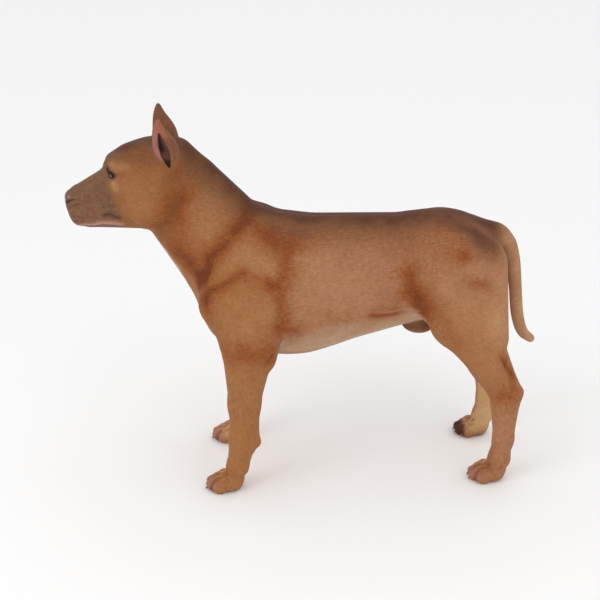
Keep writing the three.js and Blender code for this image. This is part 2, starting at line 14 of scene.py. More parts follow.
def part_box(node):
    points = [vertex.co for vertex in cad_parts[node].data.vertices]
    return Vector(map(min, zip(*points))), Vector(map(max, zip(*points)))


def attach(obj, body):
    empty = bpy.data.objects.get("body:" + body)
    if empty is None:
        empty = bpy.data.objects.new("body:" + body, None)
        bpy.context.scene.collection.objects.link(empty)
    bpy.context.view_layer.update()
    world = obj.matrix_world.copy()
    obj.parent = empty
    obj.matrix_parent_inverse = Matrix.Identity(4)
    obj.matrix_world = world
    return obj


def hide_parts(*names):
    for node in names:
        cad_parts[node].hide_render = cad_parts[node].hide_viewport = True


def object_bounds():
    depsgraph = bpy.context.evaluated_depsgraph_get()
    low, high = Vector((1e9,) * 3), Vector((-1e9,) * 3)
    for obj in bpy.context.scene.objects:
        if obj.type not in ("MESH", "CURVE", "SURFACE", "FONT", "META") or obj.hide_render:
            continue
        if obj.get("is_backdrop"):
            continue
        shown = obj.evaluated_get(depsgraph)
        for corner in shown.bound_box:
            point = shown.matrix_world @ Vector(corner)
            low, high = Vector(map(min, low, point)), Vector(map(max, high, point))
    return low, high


bl_info = {
    "name": "Dog Statue",
    "version": (1, 0, 0),
    "blender": (4, 5, 0),
    "location": "View3D > Sidebar > Dog Statue",
    "description": "Skins, paints and stages a life-size dog statue around its frame",
    "category": "Object",
}

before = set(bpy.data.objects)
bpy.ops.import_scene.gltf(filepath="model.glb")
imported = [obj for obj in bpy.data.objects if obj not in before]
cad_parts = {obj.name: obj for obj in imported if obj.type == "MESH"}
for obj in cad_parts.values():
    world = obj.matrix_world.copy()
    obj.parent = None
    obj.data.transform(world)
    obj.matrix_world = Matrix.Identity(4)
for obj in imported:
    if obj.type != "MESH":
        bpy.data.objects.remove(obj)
CAD_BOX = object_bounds()

FLESH = ["head", "lower_jaw", "neck", "trunk", "tail", "nose"] + [
    f"{hand}_{part}" for hand in ("left", "right")
    for part in ("ear", "foreleg", "forepaw", "hind_leg", "hind_paw")]
CLAWS = [f"{hand}_{pair}_claw_{i}"
         for hand in ("left", "right") for pair in ("fore", "hind") for i in (1, 2, 3, 4)]
GROWTH = 0.0006  # metres that each flesh node is grown by, so that the thin cuts between them close
SOCKET_RADIUS = 0.0118
CLAW_ROOT_DROP = 0.0034  # from the top of a claw's node to the middle of its root
CLAW_TIP_BACK = 0.0016  # from the front of the node to the tip
CLAW_TIP_LIFT = 0.0014  # from the bottom of the node to the tip
CLAW_BOW = 0.0012  # how far a claw arches over the straight line
CORNEA_EDGE = 0.86  # cosine of the angle from the gaze at which the cornea begins
CORNEA_RISE = 0.0009
OFF_AXIS_FULL = 1.6  # radians from the gaze at which an eye's off_axis value reaches 1


def centre(node):
    low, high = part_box(node)
    return (low + high) / 2


# The forms are in millimetres, from a place that the left eye's centre fixes along the body.
EYE_AT = np.array([36.0, -333.0, 606.0])
SHIFT = np.array([(centre("left_eye").x + centre("right_eye").x) * 500,
                  centre("left_eye").y * 1000 - EYE_AT[1], 0.0])


def smooth_step(low, high, v):
    t = np.clip((v - low) / (high - low), 0, 1)
    return t * t * (3 - 2 * t)


# ------------------------------------------------------------------ forms that make up the body
def wobbled(p, size=4.5, span=34.0):
    """Points moved by a smooth, irregular amount, so that painted edges aren't ruled lines."""
    waves = np.random.default_rng(7)
    moved = p.copy()
    for _ in range(5):
        across, phase, lean = waves.normal(size=3), waves.uniform(0, 6.28, 3), waves.normal(size=3)
        along = p @ (across / np.linalg.norm(across)) / (span / 6.28 * waves.uniform(0.6, 1.8))
        moved += size * 0.4 * np.sin(along[:, None] + phase) * lean
    return moved


def turned(tilt, roll, turn):
    """The rotation that tips a form about X, rolls it about Y and turns it about Z, in degrees."""
    about_x, about_y, about_z = (Matrix.Rotation(math.radians(a), 3, axis)
                                 for a, axis in ((tilt, "X"), (roll, "Y"), (turn, "Z")))
    return np.array(about_z @ about_x @ about_y)


class Ball:
    """An ellipsoid that melts into what is there."""

    def __init__(self, at, radii, melt=20, tilt=0, turn=0, roll=0):
        self.at, self.radii, self.melt = np.array(at, float), np.array(radii, float), melt
        self.axes = turned(tilt, roll, turn)
        self.middle, self.reach = self.at, self.radii.max()

    def distance(self, p):
        q = (p - self.at) @ self.axes
        k0 = np.linalg.norm(q / self.radii, axis=1)
        k1 = np.linalg.norm(q / self.radii ** 2, axis=1)
        return np.where(k1 < 1e-9, -self.radii.min(), k0 * (k0 - 1) / np.maximum(k1, 1e-9))


class Limb:
    """A tapered round bar from a to b, squeezed across the body by flat."""

    def __init__(self, a, b, ra, rb, melt=20, flat=1.0):
        self.a, self.b, self.ra, self.rb = np.array(a, float), np.array(b, float), ra, rb
        self.melt, self.flat = melt, flat
        self.middle = (self.a + self.b) / 2
        self.reach = np.linalg.norm(self.b - self.a) / 2 + max(ra, rb)

    def distance(self, p):
        along = self.b - self.a
        t = np.clip((p - self.a) @ along / (along @ along), 0, 1)
        v = p - self.a - t[:, None] * along
        r = self.ra + (self.rb - self.ra) * t
        squeezed = np.sqrt((v[:, 0] / self.flat) ** 2 + v[:, 1] ** 2 + v[:, 2] ** 2)
        return (squeezed - r) * np.linalg.norm(v, axis=1) / np.maximum(squeezed, 1e-6)


def eased(values, steps=6):
    """The smooth (Catmull-Rom) curve through these values, a few steps from each to the next."""
    v = np.array(values, float)
    v = np.concatenate([[2 * v[0] - v[1]], v, [2 * v[-1] - v[-2]]])
    curve = []
    for a, b, c, d in zip(v, v[1:], v[2:], v[3:]):
        for t in np.arange(steps) / steps:
            bend = 2 * a - 5 * b + 4 * c - d + t * (3 * b - a - 3 * c + d)
            curve.append(b + 0.5 * t * (c - a + t * bend))
    return np.array(curve + [v[-2]])


class Sweep:
    """A round bar along the smooth curve through a few points, its radius eased from one to the next."""

    def __init__(self, points, radii, melt=20):
        line, thick = eased(points), eased(radii)
        self.bars = [Limb(*pair) for pair in zip(line, line[1:], thick, thick[1:])]
        self.melt = melt
        self.middle = line.mean(0)
        self.reach = np.linalg.norm(line - self.middle, axis=1).max() + thick.max()

    def distance(self, p):
        return np.min([bar.distance(p) for bar in self.bars], axis=0)


def melted(a, b, k):
    """Smooth union of two distances."""
    h = np.maximum(k - np.abs(a - b), 0) / k
    return np.minimum(a, b) - h * h * k / 4


def carved(a, b, k):
    """Distance a with b cut out of it, smoothly."""
    return -melted(-a, b, k)


FORE_TRACK, FORE_Y, HIND_TRACK, HIND_Y = 103, -111, 96, 388
TRUNK = [
    Ball((0, -22, 375), (100, 168, 127), 30),  # ribs
    Limb((0, 0, 379), (0, 208, 407), 134, 105, 20, 0.75),  # loin and belly
    Limb((10, -70, 495), (10, -20, 478), 36, 34, 25),  # withers
    Limb((8, -50, 480), (8, 194, 477), 34, 34, 12),  # back
    Ball((0, 267, 444), (84, 104, 77), 24),  # croup
    Ball((52, 260, 402), (44, 84, 72), 28),  # hip
    Ball((30, -140, 352), (48, 46, 60), 30),  # breast
    Ball((0, -70, 300), (50, 100, 50), 30),  # brisket
    Limb((50, -80, 484), (82, -136, 385), 34, 47, 30, 0.9),  # shoulder blade
    Limb((80, -146, 366), (98, -104, 300), 40, 42, 25, 0.85),  # upper arm
    Limb((74, -66, 410), (97, -82, 312), 40, 40, 25, 0.78),  # triceps
    Limb((0, -219, 554), (0, -134, 447), 83, 99, 30, 0.74),  # neck
    Limb((0, -224, 630), (0, -126, 533), 31, 31, 12),  # crest of the neck
    Ball((0, 228, 292), (16, 31, 19), 10, -8),  # sheath
]
HEAD = [
    Ball((0, -260, 607), (57, 66, 58), 25),  # cranium
    Ball((26, -274, 618), (30, 50, 36), 22),  # temple
    Ball((0, -290, 628), (40, 52, 30.5), 8),  # forehead
    Ball((44, -274, 556), (30, 44, 47), 25),  # cheek
    Limb((46, -322, 590), (58, -262, 594), 12, 16, 24),  # cheekbone
    Limb((16, -341, 620), (35, -322, 628), 14, 13, 16),  # brow
    Limb((0, -336, 568), (0, -396, 547), 48, 35, 22, 0.85),  # muzzle
    Limb((28, -330, 530), (17, -401, 525), 20, 19, 16),  # upper lip
    Limb((0, -290, 520), (0, -386, 511), 25, 12, 14, 1.3),  # lower jaw
    Sweep([(57, -243, 636), (61, -245, 660), (64, -252, 685), (66, -255.5, 699), (67, -255.5, 709.5)],
          [25, 22.5, 14.2, 8, 4], 20),  # ear
    Ball((0, -416, 558), (18, 15, 12), 5),  # nose pad
    Ball((11, -415, 550), (9, 14, 9), 5),  # wing of the nose
    Ball((0, -419, 543), (5, 9, 10), 5),  # foot of the nose
]
LEGS = [
    Limb((100, -101, 288), (FORE_TRACK, FORE_Y + 1, 178), 49, 29, 20, 0.78),  # forearm
    Limb((FORE_TRACK, FORE_Y + 1, 178), (FORE_TRACK, FORE_Y, 104), 29, 27.5, 14, 0.9),  # wrist
    Limb((FORE_TRACK, FORE_Y - 2, 104), (FORE_TRACK, FORE_Y - 14, 46), 26, 20, 12, 1.05),  # pastern
    Limb((FORE_TRACK, FORE_Y - 14, 46), (FORE_TRACK, FORE_Y - 26, 22), 20, 15, 10, 1.1),  # instep
    Ball((104, -66, 274), (16, 16, 26), 12),  # point of the elbow
    Ball((FORE_TRACK + 2, -88, 98), (11, 8, 9), 6),  # wrist pad
    Limb((56, 270, 424), (82, 280, 324), 76, 42, 30, 0.62),  # thigh
    Limb((49, 329, 424), (80, 347, 292), 56.5, 42, 30, 0.72),  # buttock
    Limb((86, 302, 306), (90, 354, 238), 39, 33, 22, 0.8),  # calf
    Limb((90, 354, 238), (93, 385, 174), 31, 25, 18, 0.82),  # shin
    Limb((90, 374, 258), (94, 410, 188), 12, 9, 12),  # heel tendon
    Ball((94, 407, 180), (12, 14, 15), 10),  # point of the hock
    Limb((94, 388, 156), (HIND_TRACK, HIND_Y + 1, 84), 27, 19.5, 14, 0.9),  # hind cannon
    Limb((HIND_TRACK, HIND_Y + 1, 84), (HIND_TRACK, HIND_Y - 5, 42), 19.5, 20, 10),
    Limb((HIND_TRACK, HIND_Y - 5, 42), (HIND_TRACK, HIND_Y - 18, 22), 20, 15, 10, 1.1),  # hind instep
]
TOES = [(-22, 41), (-8.4, 53.5), (8.4, 53.5), (22, 41)]


def paw(cx, cy):
    """Four toes, each a knuckle and a drooping tip, over their pads."""
    forms = [Ball((cx, cy - 13, 18), (25.5, 27, 13), 10),  # knuckles
             Ball((cx, cy - 6.5, 14), (21, 16, 14), 8),  # heel pad
             Ball((cx, cy - 20, 8), (25, 28, 10), 8)]  # sole
    for across, reach in TOES:
        x, tip = cx + across, cy - reach
        forms += [Limb((cx + across * 0.7, cy - 14, 18), (x, tip + 17, 17.5), 10, 10.6, 4),
                  Limb((x, tip + 16, 16.8), (x, tip + 4, 12.4), 10.2, 8.8, 2.5),
                  Ball((x, tip + 9, 8), (8.8, 12, 9), 2.5)]
    return forms


FORE_PAW_Y, HIND_PAW_Y = FORE_Y - 16, HIND_Y - 5
TAIL = Sweep([(0, 336, 470), (0, 370, 472), (0, 391, 457), (0, 400, 441), (0, 408, 411),
              (0, 415, 360), (0, 420, 318), (0, 428, 285), (0, 437, 268), (0, 451, 256.5)],
             [28, 22, 17, 15, 13.6, 12.4, 12.2, 11.4, 10.4, 8.4])
BODY = TRUNK + HEAD + LEGS + paw(FORE_TRACK, FORE_PAW_Y) + paw(HIND_TRACK, HIND_PAW_Y)
STANCE = {"left": {"fore": (-1, 0), "hind": (-6, 0)}, "right": {"fore": (2, 9), "hind": (7, 5)}}
EAR_SET = {"left": 3.3, "right": -3.3}

EAR_HOLLOW = Sweep([(77, -253, 688), (81, -250.5, 678), (84, -247, 666), (84.5, -243, 655),
                    (83, -237.5, 642), (81, -233.5, 631)], [1.4, 3.8, 6.9, 7.2, 4.4, 1.2], 2)
EAR_FRONT = Sweep([(69.5, -254.5, 709), (72, -258, 699), (73, -260, 688.5), (73.5, -261, 676),
                   (74.5, -260.5, 666), (78, -256.5, 657), (81.5, -249.5, 648.5),
                   (81.5, -241.5, 639.5), (79.5, -235.5, 629)],
                  [2.0, 2.8, 3.4, 4.0, 4.4, 4.2, 3.4, 2.8, 1.4], 3)  # thick rolled edge
EAR_BACK = Sweep([(69, -252, 707.5), (71.5, -246.5, 696), (75.3, -240.5, 683.5), (78.5, -235.5, 670),
                  (79.5, -232.5, 656), (78.5, -230.5, 643), (77.5, -231.5, 630)],
                 [1.8, 2.2, 2.4, 2.6, 2.6, 2.4, 1.6], 2.5)  # thin edge
NOSTRILS = [Sweep([(9, -434, 552), (12, -429, 550), (16, -424, 550)], [2.9, 2.7, 2.0], 2),
            Sweep([(15, -426, 551), (20, -420, 554), (24, -412, 558)], [1.5, 1.2, 0.7], 2)]


def unit(v):
    return np.array(v, float) / np.linalg.norm(v)


GAZE = unit((0.55, -0.80, 0.22))  # out of the left eye
EYE_LINE = unit(np.cross(np.cross(GAZE, (0.80, 0.54, -0.08)), GAZE))  # from its inner to its outer corner
EYE_UP = np.cross(EYE_LINE, GAZE)
LIDS = Ball(EYE_AT, (12.4, 12.4, 12.0), 5)


def unstance(p):
    """Moves points to the left side, as if all four feet stood alike and the ears were a pair."""
    planted = 1 - smooth_step(60, 236, p[:, 2])
    eared = smooth_step(628, 662, p[:, 2]) * smooth_step(18, 44, np.abs(p[:, 0]))
    out, back = np.zeros(len(p)), np.zeros(len(p))
    for hand, side in (("left", p[:, 0] >= 0), ("right", p[:, 0] < 0)):
        back[side] = EAR_SET[hand] * eared[side]
        for pair, near in (("fore", p[:, 1] <= 110), ("hind", p[:, 1] > 110)):
            here = side & near
            out[here] = STANCE[hand][pair][0] * planted[here]
            back[here] += STANCE[hand][pair][1] * planted[here]
    return np.stack([np.abs(p[:, 0]) - out, p[:, 1] - back, p[:, 2]], 1)


def fused(forms, p, d=None):
    """All the forms melted together, each worked out only for the points near it."""
    d = np.full(len(p), 1e3) if d is None else d.copy()
    for f in forms:
        near = ((p - f.middle) ** 2).sum(1) < (f.reach + f.melt + 8) ** 2
        if near.any():
            d[near] = melted(d[near], f.distance(p[near]), f.melt)
    return d


def almond(q):
    """Distance to the opening between the eyelids."""
    v = q - EYE_AT
    across, up, out = v @ EYE_LINE, v @ EYE_UP, v @ GAZE
    lens = (np.hypot(across / 9.6, (up - 0.4) / 5.2) - 1) * 5.2
    return np.maximum(lens, 7.6 - out)


def body(p):
    """Distance to the finished body, tail and all."""
    q = unstance(p)
    d = fused(BODY + [EAR_FRONT, EAR_BACK], q)
    d = carved(d, EAR_HOLLOW.distance(q), EAR_HOLLOW.melt)
    d = melted(d, LIDS.distance(q), LIDS.melt)
    d = carved(d, almond(q), 1.2)
    for slit in NOSTRILS:
        d = carved(d, slit.distance(q), slit.melt)
    return melted(d, TAIL.distance(p), 3 + 17 * smooth_step(418, 470, p[:, 2]))


# ------------------------------------------------------------------ modelled and painted strokes
class Stroke:
    """A soft line over the body, through a few landmarks.

    depth is how far it is cut in or, below 0, raised. paint is how much it darkens the coat or, below 0,
    lightens it.
    """

    def __init__(self, points, width, depth=0.0, paint=0.0):
        self.points = np.array(points, float)
        self.width, self.depth, self.paint = width, depth, paint

    def near(self, q):
        """How far each point is from the line."""
        distance = np.full(len(q), 1e9)
        for a, b in zip(self.points[:-1], self.points[1:]):
            along = b - a
            t = np.clip((q - a) @ along / max(along @ along, 1e-9), 0, 1)
            distance = np.minimum(distance, np.linalg.norm(q - a - t[:, None] * along, axis=1))
        return distance

    def strength(self, q, spread=1.0):
        """1 on the line, fading to nothing about two widths away."""
        width = self.width * spread
        close = ((q > self.points.min(0) - 3 * width) & (q < self.points.max(0) + 3 * width)).all(1)
        faded = np.zeros(len(q))
        faded[close] = np.exp(-(self.near(q[close]) / width) ** 2)
        return faded


# Where the muscles meet: name, landmarks, width, depth, paint.
# Their paint is the statue's airbrushed red-brown, deepened as painted shade in the grooves.
GROOVES = [
    ("neck into shoulder", [(36, -93, 537), (54, -106, 522), (66, -129, 501), (72, -156, 467),
                            (68, -179, 424), (66, -186, 406)], 8, 2.4, 0.9),
    ("blade over upper arm", [(105, -180, 388), (110, -170, 400), (113, -155, 412), (109, -130, 428),
                              (105, -112, 436), (106, -93, 429), (107, -72, 423), (106, -50, 415)],
     8, 1.8, 0.75),
    ("behind the blade", [(57, -94, 520), (73, -71, 506), (73, -51, 486)], 10, 1.2, 0.45),
    ("behind the shoulder", [(74, -33, 471), (90, -30, 446), (104, -40, 420), (108, -38, 389),
                             (105, -35, 335)], 12, 2.6, 0.5),
    ("shoulder hollow", [(108, -44, 408), (109, -40, 388)], 12, 1.0, 0.45),
    ("elbow to ribs", [(114, -48, 334), (104, -32, 326), (94, -16, 318)], 9, 1.2, 0.6),
    ("above the elbow", [(112, -150, 289), (135, -125, 298), (140, -98, 299), (136, -76, 301),
                         (120, -52, 304)], 9, 1.0, 0.2),
    ("elbow crease", [(127, -58, 284), (125, -64, 268), (122, -71, 249)], 2.4, 1.2, 0.45),
    ("rear elbow crease", [(117, -51, 272), (115, -60, 254)], 2.0, 0.9, 0.4),
    ("flank fold", [(88, 196, 424), (90, 208, 384), (92, 226, 354)], 12, 3.2, 0.75),
    ("flank line", [(80, 130, 345), (72, 168, 341), (74, 192, 345), (84, 214, 346)], 5, 1.2, 0.6),
    ("thigh streak", [(105, 297, 416), (101, 326, 403), (93, 358, 390)], 8, 1.2, 0.55),
    ("hip dimple", [(98, 290, 464), (98, 296, 459)], 8, 1.2, 0.5),
    ("heel tendon groove", [(110, 372, 262), (106, 389, 232), (105, 396, 207), (106, 401, 192)],
     4.5, 4.0, 0.75),
    ("hock fold", [(118, 378, 186), (113, 396, 178)], 8, 0.6, 0.5),
    ("back of the cheek", [(64, -225, 570), (66, -230, 544), (62, -238, 524), (52, -258, 506)],
     13, 2.2, 0.75),
    ("throat", [(45, -250, 490), (46, -232, 465), (48, -212, 440)], 13, 1.2, 0.6),
    ("temple", [(52, -292, 632), (56, -276, 628)], 12, 1.0, 0.35),
    ("edge of the tail", [(38, 353, 490), (58, 354, 480), (71, 359, 468), (75, 367, 453)], 8, 0.5, 0.1),
    ("front of the hip", [(80, 190, 470), (92, 198, 440)], 14, 1.2, 0.22),
    ("front of the knee", [(104, 262, 332), (108, 280, 300)], 12, 0.6, 0.35),
]
SWELLS = [
    ("point of the hip bone", [(101, 294, 452), (98, 320, 450)], 18, -1.6),
    ("upper arm", [(112, -140, 350), (116, -120, 330)], 26, -1.5),
    ("lip", [(40, -350, 530), (38, -385, 526)], 12, -0.8),
]
# Broad, soft changes of tone: name, landmarks, width, depth (none), paint (below 0 for paler).
WASHES = [
    ("ribs", [(93, 4, 439), (98, 50, 400), (105, 0, 370)], 52, 0, -0.10),
    ("blade", [(96, -99, 457), (98, -74, 446)], 28, 0, -0.14),
    ("upper arm", [(122, -95, 370), (126, -100, 337)], 30, 0, -0.06),
    ("thigh", [(103, 304, 437), (106, 280, 409), (105, 308, 359), (105, 346, 339)], 32, 0, -0.14),
    ("back of the thigh", [(98, 372, 400), (100, 368, 345), (103, 366, 312)], 28, 0, -0.38),
    ("hind cannon", [(114, 376, 135), (116, 379, 81)], 22, 0, -0.06),
    ("neck", [(56, -188, 574), (62, -171, 530)], 32, 0, -0.06),
    ("low neck", [(60, -212, 483), (59, -204, 460), (58, -194, 434)], 26, 0, 0.15),
    ("breast", [(65, -187, 403), (95, -182, 391), (100, -172, 354)], 26, 0, 0.10),
    ("point of the shoulder", [(108, -176, 380), (106, -160, 330)], 18, 0, 0.10),
    ("top of the blade", [(80, -72, 490), (66, -40, 496), (64, 0, 488)], 24, 0, 0.14),
    ("middle of the neck", [(62, -222, 560), (56, -196, 596)], 26, 0, 0.10),
    ("top of the foreleg", [(123, -143, 290), (139, -100, 285), (127, -60, 280)], 26, 0, 0.20),
    ("hip", [(99, 289, 461), (92, 262, 480), (92, 306, 470)], 30, 0, 0.08),
    ("side of the croup", [(46, 250, 511), (60, 328, 495), (77, 353, 475)], 34, 0, 0.10),
    ("hock", [(105, 402, 199), (113, 387, 188), (112, 362, 200)], 20, 0, 0.08),
    ("cheek", [(64, -300, 566), (70, -280, 556)], 22, 0, -0.12),
    ("tail", [(0, 384, 462), (0, 400, 441), (0, 415, 360), (0, 428, 285), (0, 451, 257)], 24, 0, -0.42),
    ("hind paw", [(96, 372, 40), (96, 350, 30)], 30, 0, 0.12),
]
GROOVES, SWELLS, WASHES = ([Stroke(*row[1:]) for row in rows] for rows in (GROOVES, SWELLS, WASHES))

MOUTH = Stroke([(0, -413, 513), (12, -411, 509), (24, -404, 507.5), (27, -395, 508), (30, -378, 508.5),
                (34, -364, 511.8), (37, -359, 514), (36, -353, 512), (33, -345, 509), (28, -338, 507)],
               1.5, 1.5)
LIP = Stroke([(0, -416, 514), (16, -412, 511), (31, -397, 510.5), (35, -378, 512), (39, -364, 517),
              (41, -351, 517), (43, -340, 517), (41, -328, 513)], 6)
LOWER_LIP = Stroke([(0, -408, 502), (14, -406, 501), (22, -395, 501), (26, -375, 502), (30, -358, 503),
                    (30, -345, 503)], 6)
LIP_CORNER = Stroke([(43, -356, 533.5), (45, -347, 535), (47, -337, 530.5), (48, -328, 528)], 4, 0.8)
ALAR = Stroke([(19, -421, 555), (23, -413, 557), (27, -402, 560.5)], 1.6, 0.7)
LIP_FOLD = Stroke([(22, -422, 541), (26, -416, 544.5), (29, -409, 548), (30, -402, 551)], 1.9, 0.8)
PHILTRUM = Stroke([(0, -434, 546), (0, -430, 532), (0, -421, 518)], 1.5, 1.6)
EYE_CORNER = Stroke([(31, -346.5, 611), (30.4, -347, 615), (30, -347, 620)], 1.6, 0.9)
EYE_INNER = Stroke([(32, -346, 610), (30.5, -347, 614.5)], 4.2)
UNDER_EYE = Stroke([(34, -346.5, 601.5), (41, -342, 600.5), (47, -337, 602.5)], 3.6)
OUTER_EYE = Stroke([(47, -335, 606.5), (51, -330, 606.5)], 3.0)
NOSE_PAD = Ball((0, -421, 556), (22, 17, 15))
EAR_FOLDS = [  # in the skin behind the ear
    Stroke([(74, -217, 654), (73, -214, 632), (66, -214, 604), (64, -218, 582)], 2.2, 1.3),
    Stroke([(70, -209, 648), (69, -206, 622), (62, -206, 596)], 2.4, 1.2),
    Stroke([(64, -200, 640), (63, -197, 612), (57, -197, 588)], 2.6, 1.0),
    Stroke([(76, -230, 624), (73, -226, 606), (69, -226, 590)], 2.0, 1.1),
    Stroke([(78, -238, 622), (76, -236, 606)], 1.8, 0.9),
]
FINE = [
    MOUTH, LIP_CORNER, LIP_FOLD, ALAR, PHILTRUM, EYE_CORNER,
    Stroke([(29, -352, 622), (40, -346, 619), (50, -335, 615)], 2.0, 1.0),  # fold over the upper lid
    Stroke([(36, -350, 596), (47, -340, 596), (53, -328, 601)], 2.2, 0.8),  # fold under the lower lid
    *EAR_FOLDS,
    Stroke([(0, -350, 626), (0, -320, 655), (0, -285, 668)], 8, 0.6),  # furrow of the brow
]
WHISKER_DOTS = [
    (33, -411, 529), (36, -404, 528), (38, -395, 528), (39, -386, 530.5), (34, -408, 520),
    (35, -399, 518.5), (37, -387, 519), (40, -375, 522), (29, -407, 550), (32, -404, 543),
    (38, -376, 539), (38, -358, 547), (30, -414, 536)]


# ------------------------------------------------------------------ meshes
def new_piece(name, mesh):
    piece = bpy.data.objects.new(name, mesh)
    bpy.context.scene.collection.objects.link(piece)
    return piece


def mesh_from(bm, name):
    """What the bmesh holds, as a new mesh."""
    mesh = bpy.data.meshes.new(name)
    bm.to_mesh(mesh)
    bm.free()
    return mesh


def put_values(mesh, name, values):
    """Gives each point of the mesh a number that its material can read."""
    mesh.attributes.new(name, "FLOAT", "POINT").data.foreach_set("value", values)


def points_of(mesh):
    """The mesh's points, in the forms' millimetres."""
    co = np.empty(len(mesh.vertices) * 3, np.float32)
    mesh.vertices.foreach_get("co", co)
    return co.reshape(-1, 3).astype(float) * 1000 - SHIFT


def place_points(mesh, p):
    mesh.vertices.foreach_set("co", ((p + SHIFT) / 1000).astype(np.float32).ravel())
    mesh.update()


def normals_of(mesh):
    n = np.empty(len(mesh.vertices) * 3, np.float32)
    mesh.vertex_normals.foreach_get("vector", n)
    return n.reshape(-1, 3).astype(float)


def settle(mesh, rounds, most=2.5):
    """Moves every point along its normal onto the body's surface."""
    for _ in range(rounds):
        p = points_of(mesh)
        p -= normals_of(mesh) * np.clip(body(p), -most, most)[:, None]
        p[:, 2] = np.maximum(p[:, 2], 0)
        place_points(mesh, p)


def even_out(mesh, rounds, factor=0.5):
    """Slides points towards the middle of their neighbours."""
    edges = np.empty(len(mesh.edges) * 2, np.int32)
    mesh.edges.foreach_get("vertices", edges)
    a, b = edges.reshape(-1, 2).T
    p = points_of(mesh)
    count = np.bincount(a, minlength=len(p)) + np.bincount(b, minlength=len(p))
    for _ in range(rounds):
        total = np.stack([np.bincount(a, p[b, i], len(p)) + np.bincount(b, p[a, i], len(p))
                          for i in range(3)], 1)
        p += factor * (total / np.maximum(count, 1)[:, None] - p)
    place_points(mesh, p)


def flesh_mesh(voxel):
    """The flesh nodes, each grown by a hair, as one closed mesh."""
    bm = bmesh.new()
    for name in FLESH:
        part = bmesh.new()
        part.from_mesh(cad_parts[name].data)
        bmesh.ops.remove_doubles(part, verts=part.verts, dist=1e-5)
        part.normal_update()
        for v in part.verts:
            v.co += v.normal * GROWTH
        mesh = mesh_from(part, "part")
        bm.from_mesh(mesh)
        bpy.data.meshes.remove(mesh)
    for side in (-1, 1):  # fills the eye sockets
        at = Vector((EYE_AT * [side, 1, 1] + SHIFT) / 1000)
        bmesh.ops.create_icosphere(bm, subdivisions=3, radius=SOCKET_RADIUS, matrix=Matrix.Translation(at))
    for name in CLAWS:  # fills the pockets of the claws
        bm.from_mesh(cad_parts[name].data)
    mesh = mesh_from(bm, "skin")
    piece = new_piece("skin", mesh)
    remesh = piece.modifiers.new("one skin", "REMESH")
    remesh.mode = "VOXEL"
    remesh.voxel_size = voxel
    remesh.adaptivity = 0
    whole = bpy.data.meshes.new_from_object(piece.evaluated_get(bpy.context.evaluated_depsgraph_get()))
    piece.modifiers.clear()
    piece.data = whole
    bpy.data.meshes.remove(mesh)
    whole.name = "skin"
    return piece


def refine(mesh, inside):
    """Cuts the edges in the chosen places in half, for finer modelling."""
    chosen = inside(points_of(mesh))
    bm = bmesh.new()
    bm.from_mesh(mesh)
    bm.verts.ensure_lookup_table()
    edges = [e for e in bm.edges if chosen[e.verts[0].index] and chosen[e.verts[1].index]]
    bmesh.ops.subdivide_edges(bm, edges=edges, cuts=1, use_grid_fill=True)
    bm.to_mesh(mesh)
    bm.free()


def in_head(p):
    return (p[:, 1] < -205) & (p[:, 2] > 478)


def in_paws(p):
    return p[:, 2] < 62


def in_detail(p):
    """Round the eyes, on the nose and lips, and about the opening of the ears."""
    q = unstance(p)
    eye = np.linalg.norm(q - EYE_AT, axis=1) < 21
    nose = p[:, 1] < -404
    chosen = eye | nose
    rest = in_head(p) & ~chosen
    q = q[rest]
    lips = np.minimum(MOUTH.near(q), LIP_CORNER.near(q)) < 7
    chosen[rest] = lips | (EAR_HOLLOW.distance(q) < 5)
    return chosen


def in_plain_head(p):
    return in_head(p) & ~in_detail(p)


def in_trunk_and_legs(p):
    return ~in_head(p) & ~in_paws(p)


def thin_out(piece, chosen, keep):
    """Collapses edges in the chosen places until about this share of their faces is left."""
    mesh = piece.data
    bpy.ops.object.select_all(action="DESELECT")
    bpy.context.view_layer.objects.active = piece
    piece.select_set(True)
    mesh.polygons.foreach_set("select", np.zeros(len(mesh.polygons), bool))
    mesh.edges.foreach_set("select", np.zeros(len(mesh.edges), bool))
    mesh.vertices.foreach_set("select", chosen)
    bpy.context.tool_settings.mesh_select_mode = (True, False, False)
    bpy.ops.object.mode_set(mode="EDIT")
    bpy.ops.mesh.select_mode(type="VERT")
    bpy.ops.mesh.decimate(ratio=keep)
    bpy.ops.object.mode_set(mode="OBJECT")
    piece.select_set(False)


def model_features(mesh):
    """Cuts the grooves and creases into the skin, and raises its swells."""
    p, n = points_of(mesh), normals_of(mesh)
    q = unstance(p)
    depth = sum(stroke.depth * stroke.strength(q) for stroke in GROOVES + SWELLS + FINE)
    nose = q[:, 1] < -396
    depth[nose] += 0.7 * np.exp(-(NOSE_PAD.distance(q[nose]) / 1.1) ** 2)
    place_points(mesh, p - n * depth[:, None])


# ------------------------------------------------------------------ paint masks
# The top line, skull and brow: the statue's darker paint there, deepened as painted shade along the upper
# edges.
SHADED_TOP_LINE = Stroke([(0, -222, 661), (0, -130, 585), (0, -85, 548), (0, -20, 520), (0, 100, 512), (0, 200, 513),
                   (0, 262, 520), (0, 330, 507), (0, 372, 494)], 60)
SHADED_BROW_LINE = Stroke([(0, -345, 634), (0, -330, 650), (0, -300, 665)], 18)
SHADED_SKULL_LINE = Stroke([(0, -326, 652), (0, -310, 660), (0, -285, 668), (0, -222, 661)], 50)
BLAZE = Stroke([(18, -250, 462), (22, -240, 443), (22, -226, 420)], 8)
CROUP = Stroke([(36, 268, 514), (58, 316, 498), (72, 344, 482)], 32)
WITHERS = Stroke([(20, -110, 552), (44, -60, 512), (46, 10, 502)], 24)
BROW_PATCH = Stroke([(37, -340, 625), (47, -329, 621), (55, -314, 624)], 8)
CHEEK_PATCH = Stroke([(45, -337, 592), (50, -331, 586)], 9)
CHEEK = Stroke([(62, -308, 552), (72, -285, 556)], 26)
SHEATH = Stroke([(0, 203, 293), (0, 245, 287)], 22)


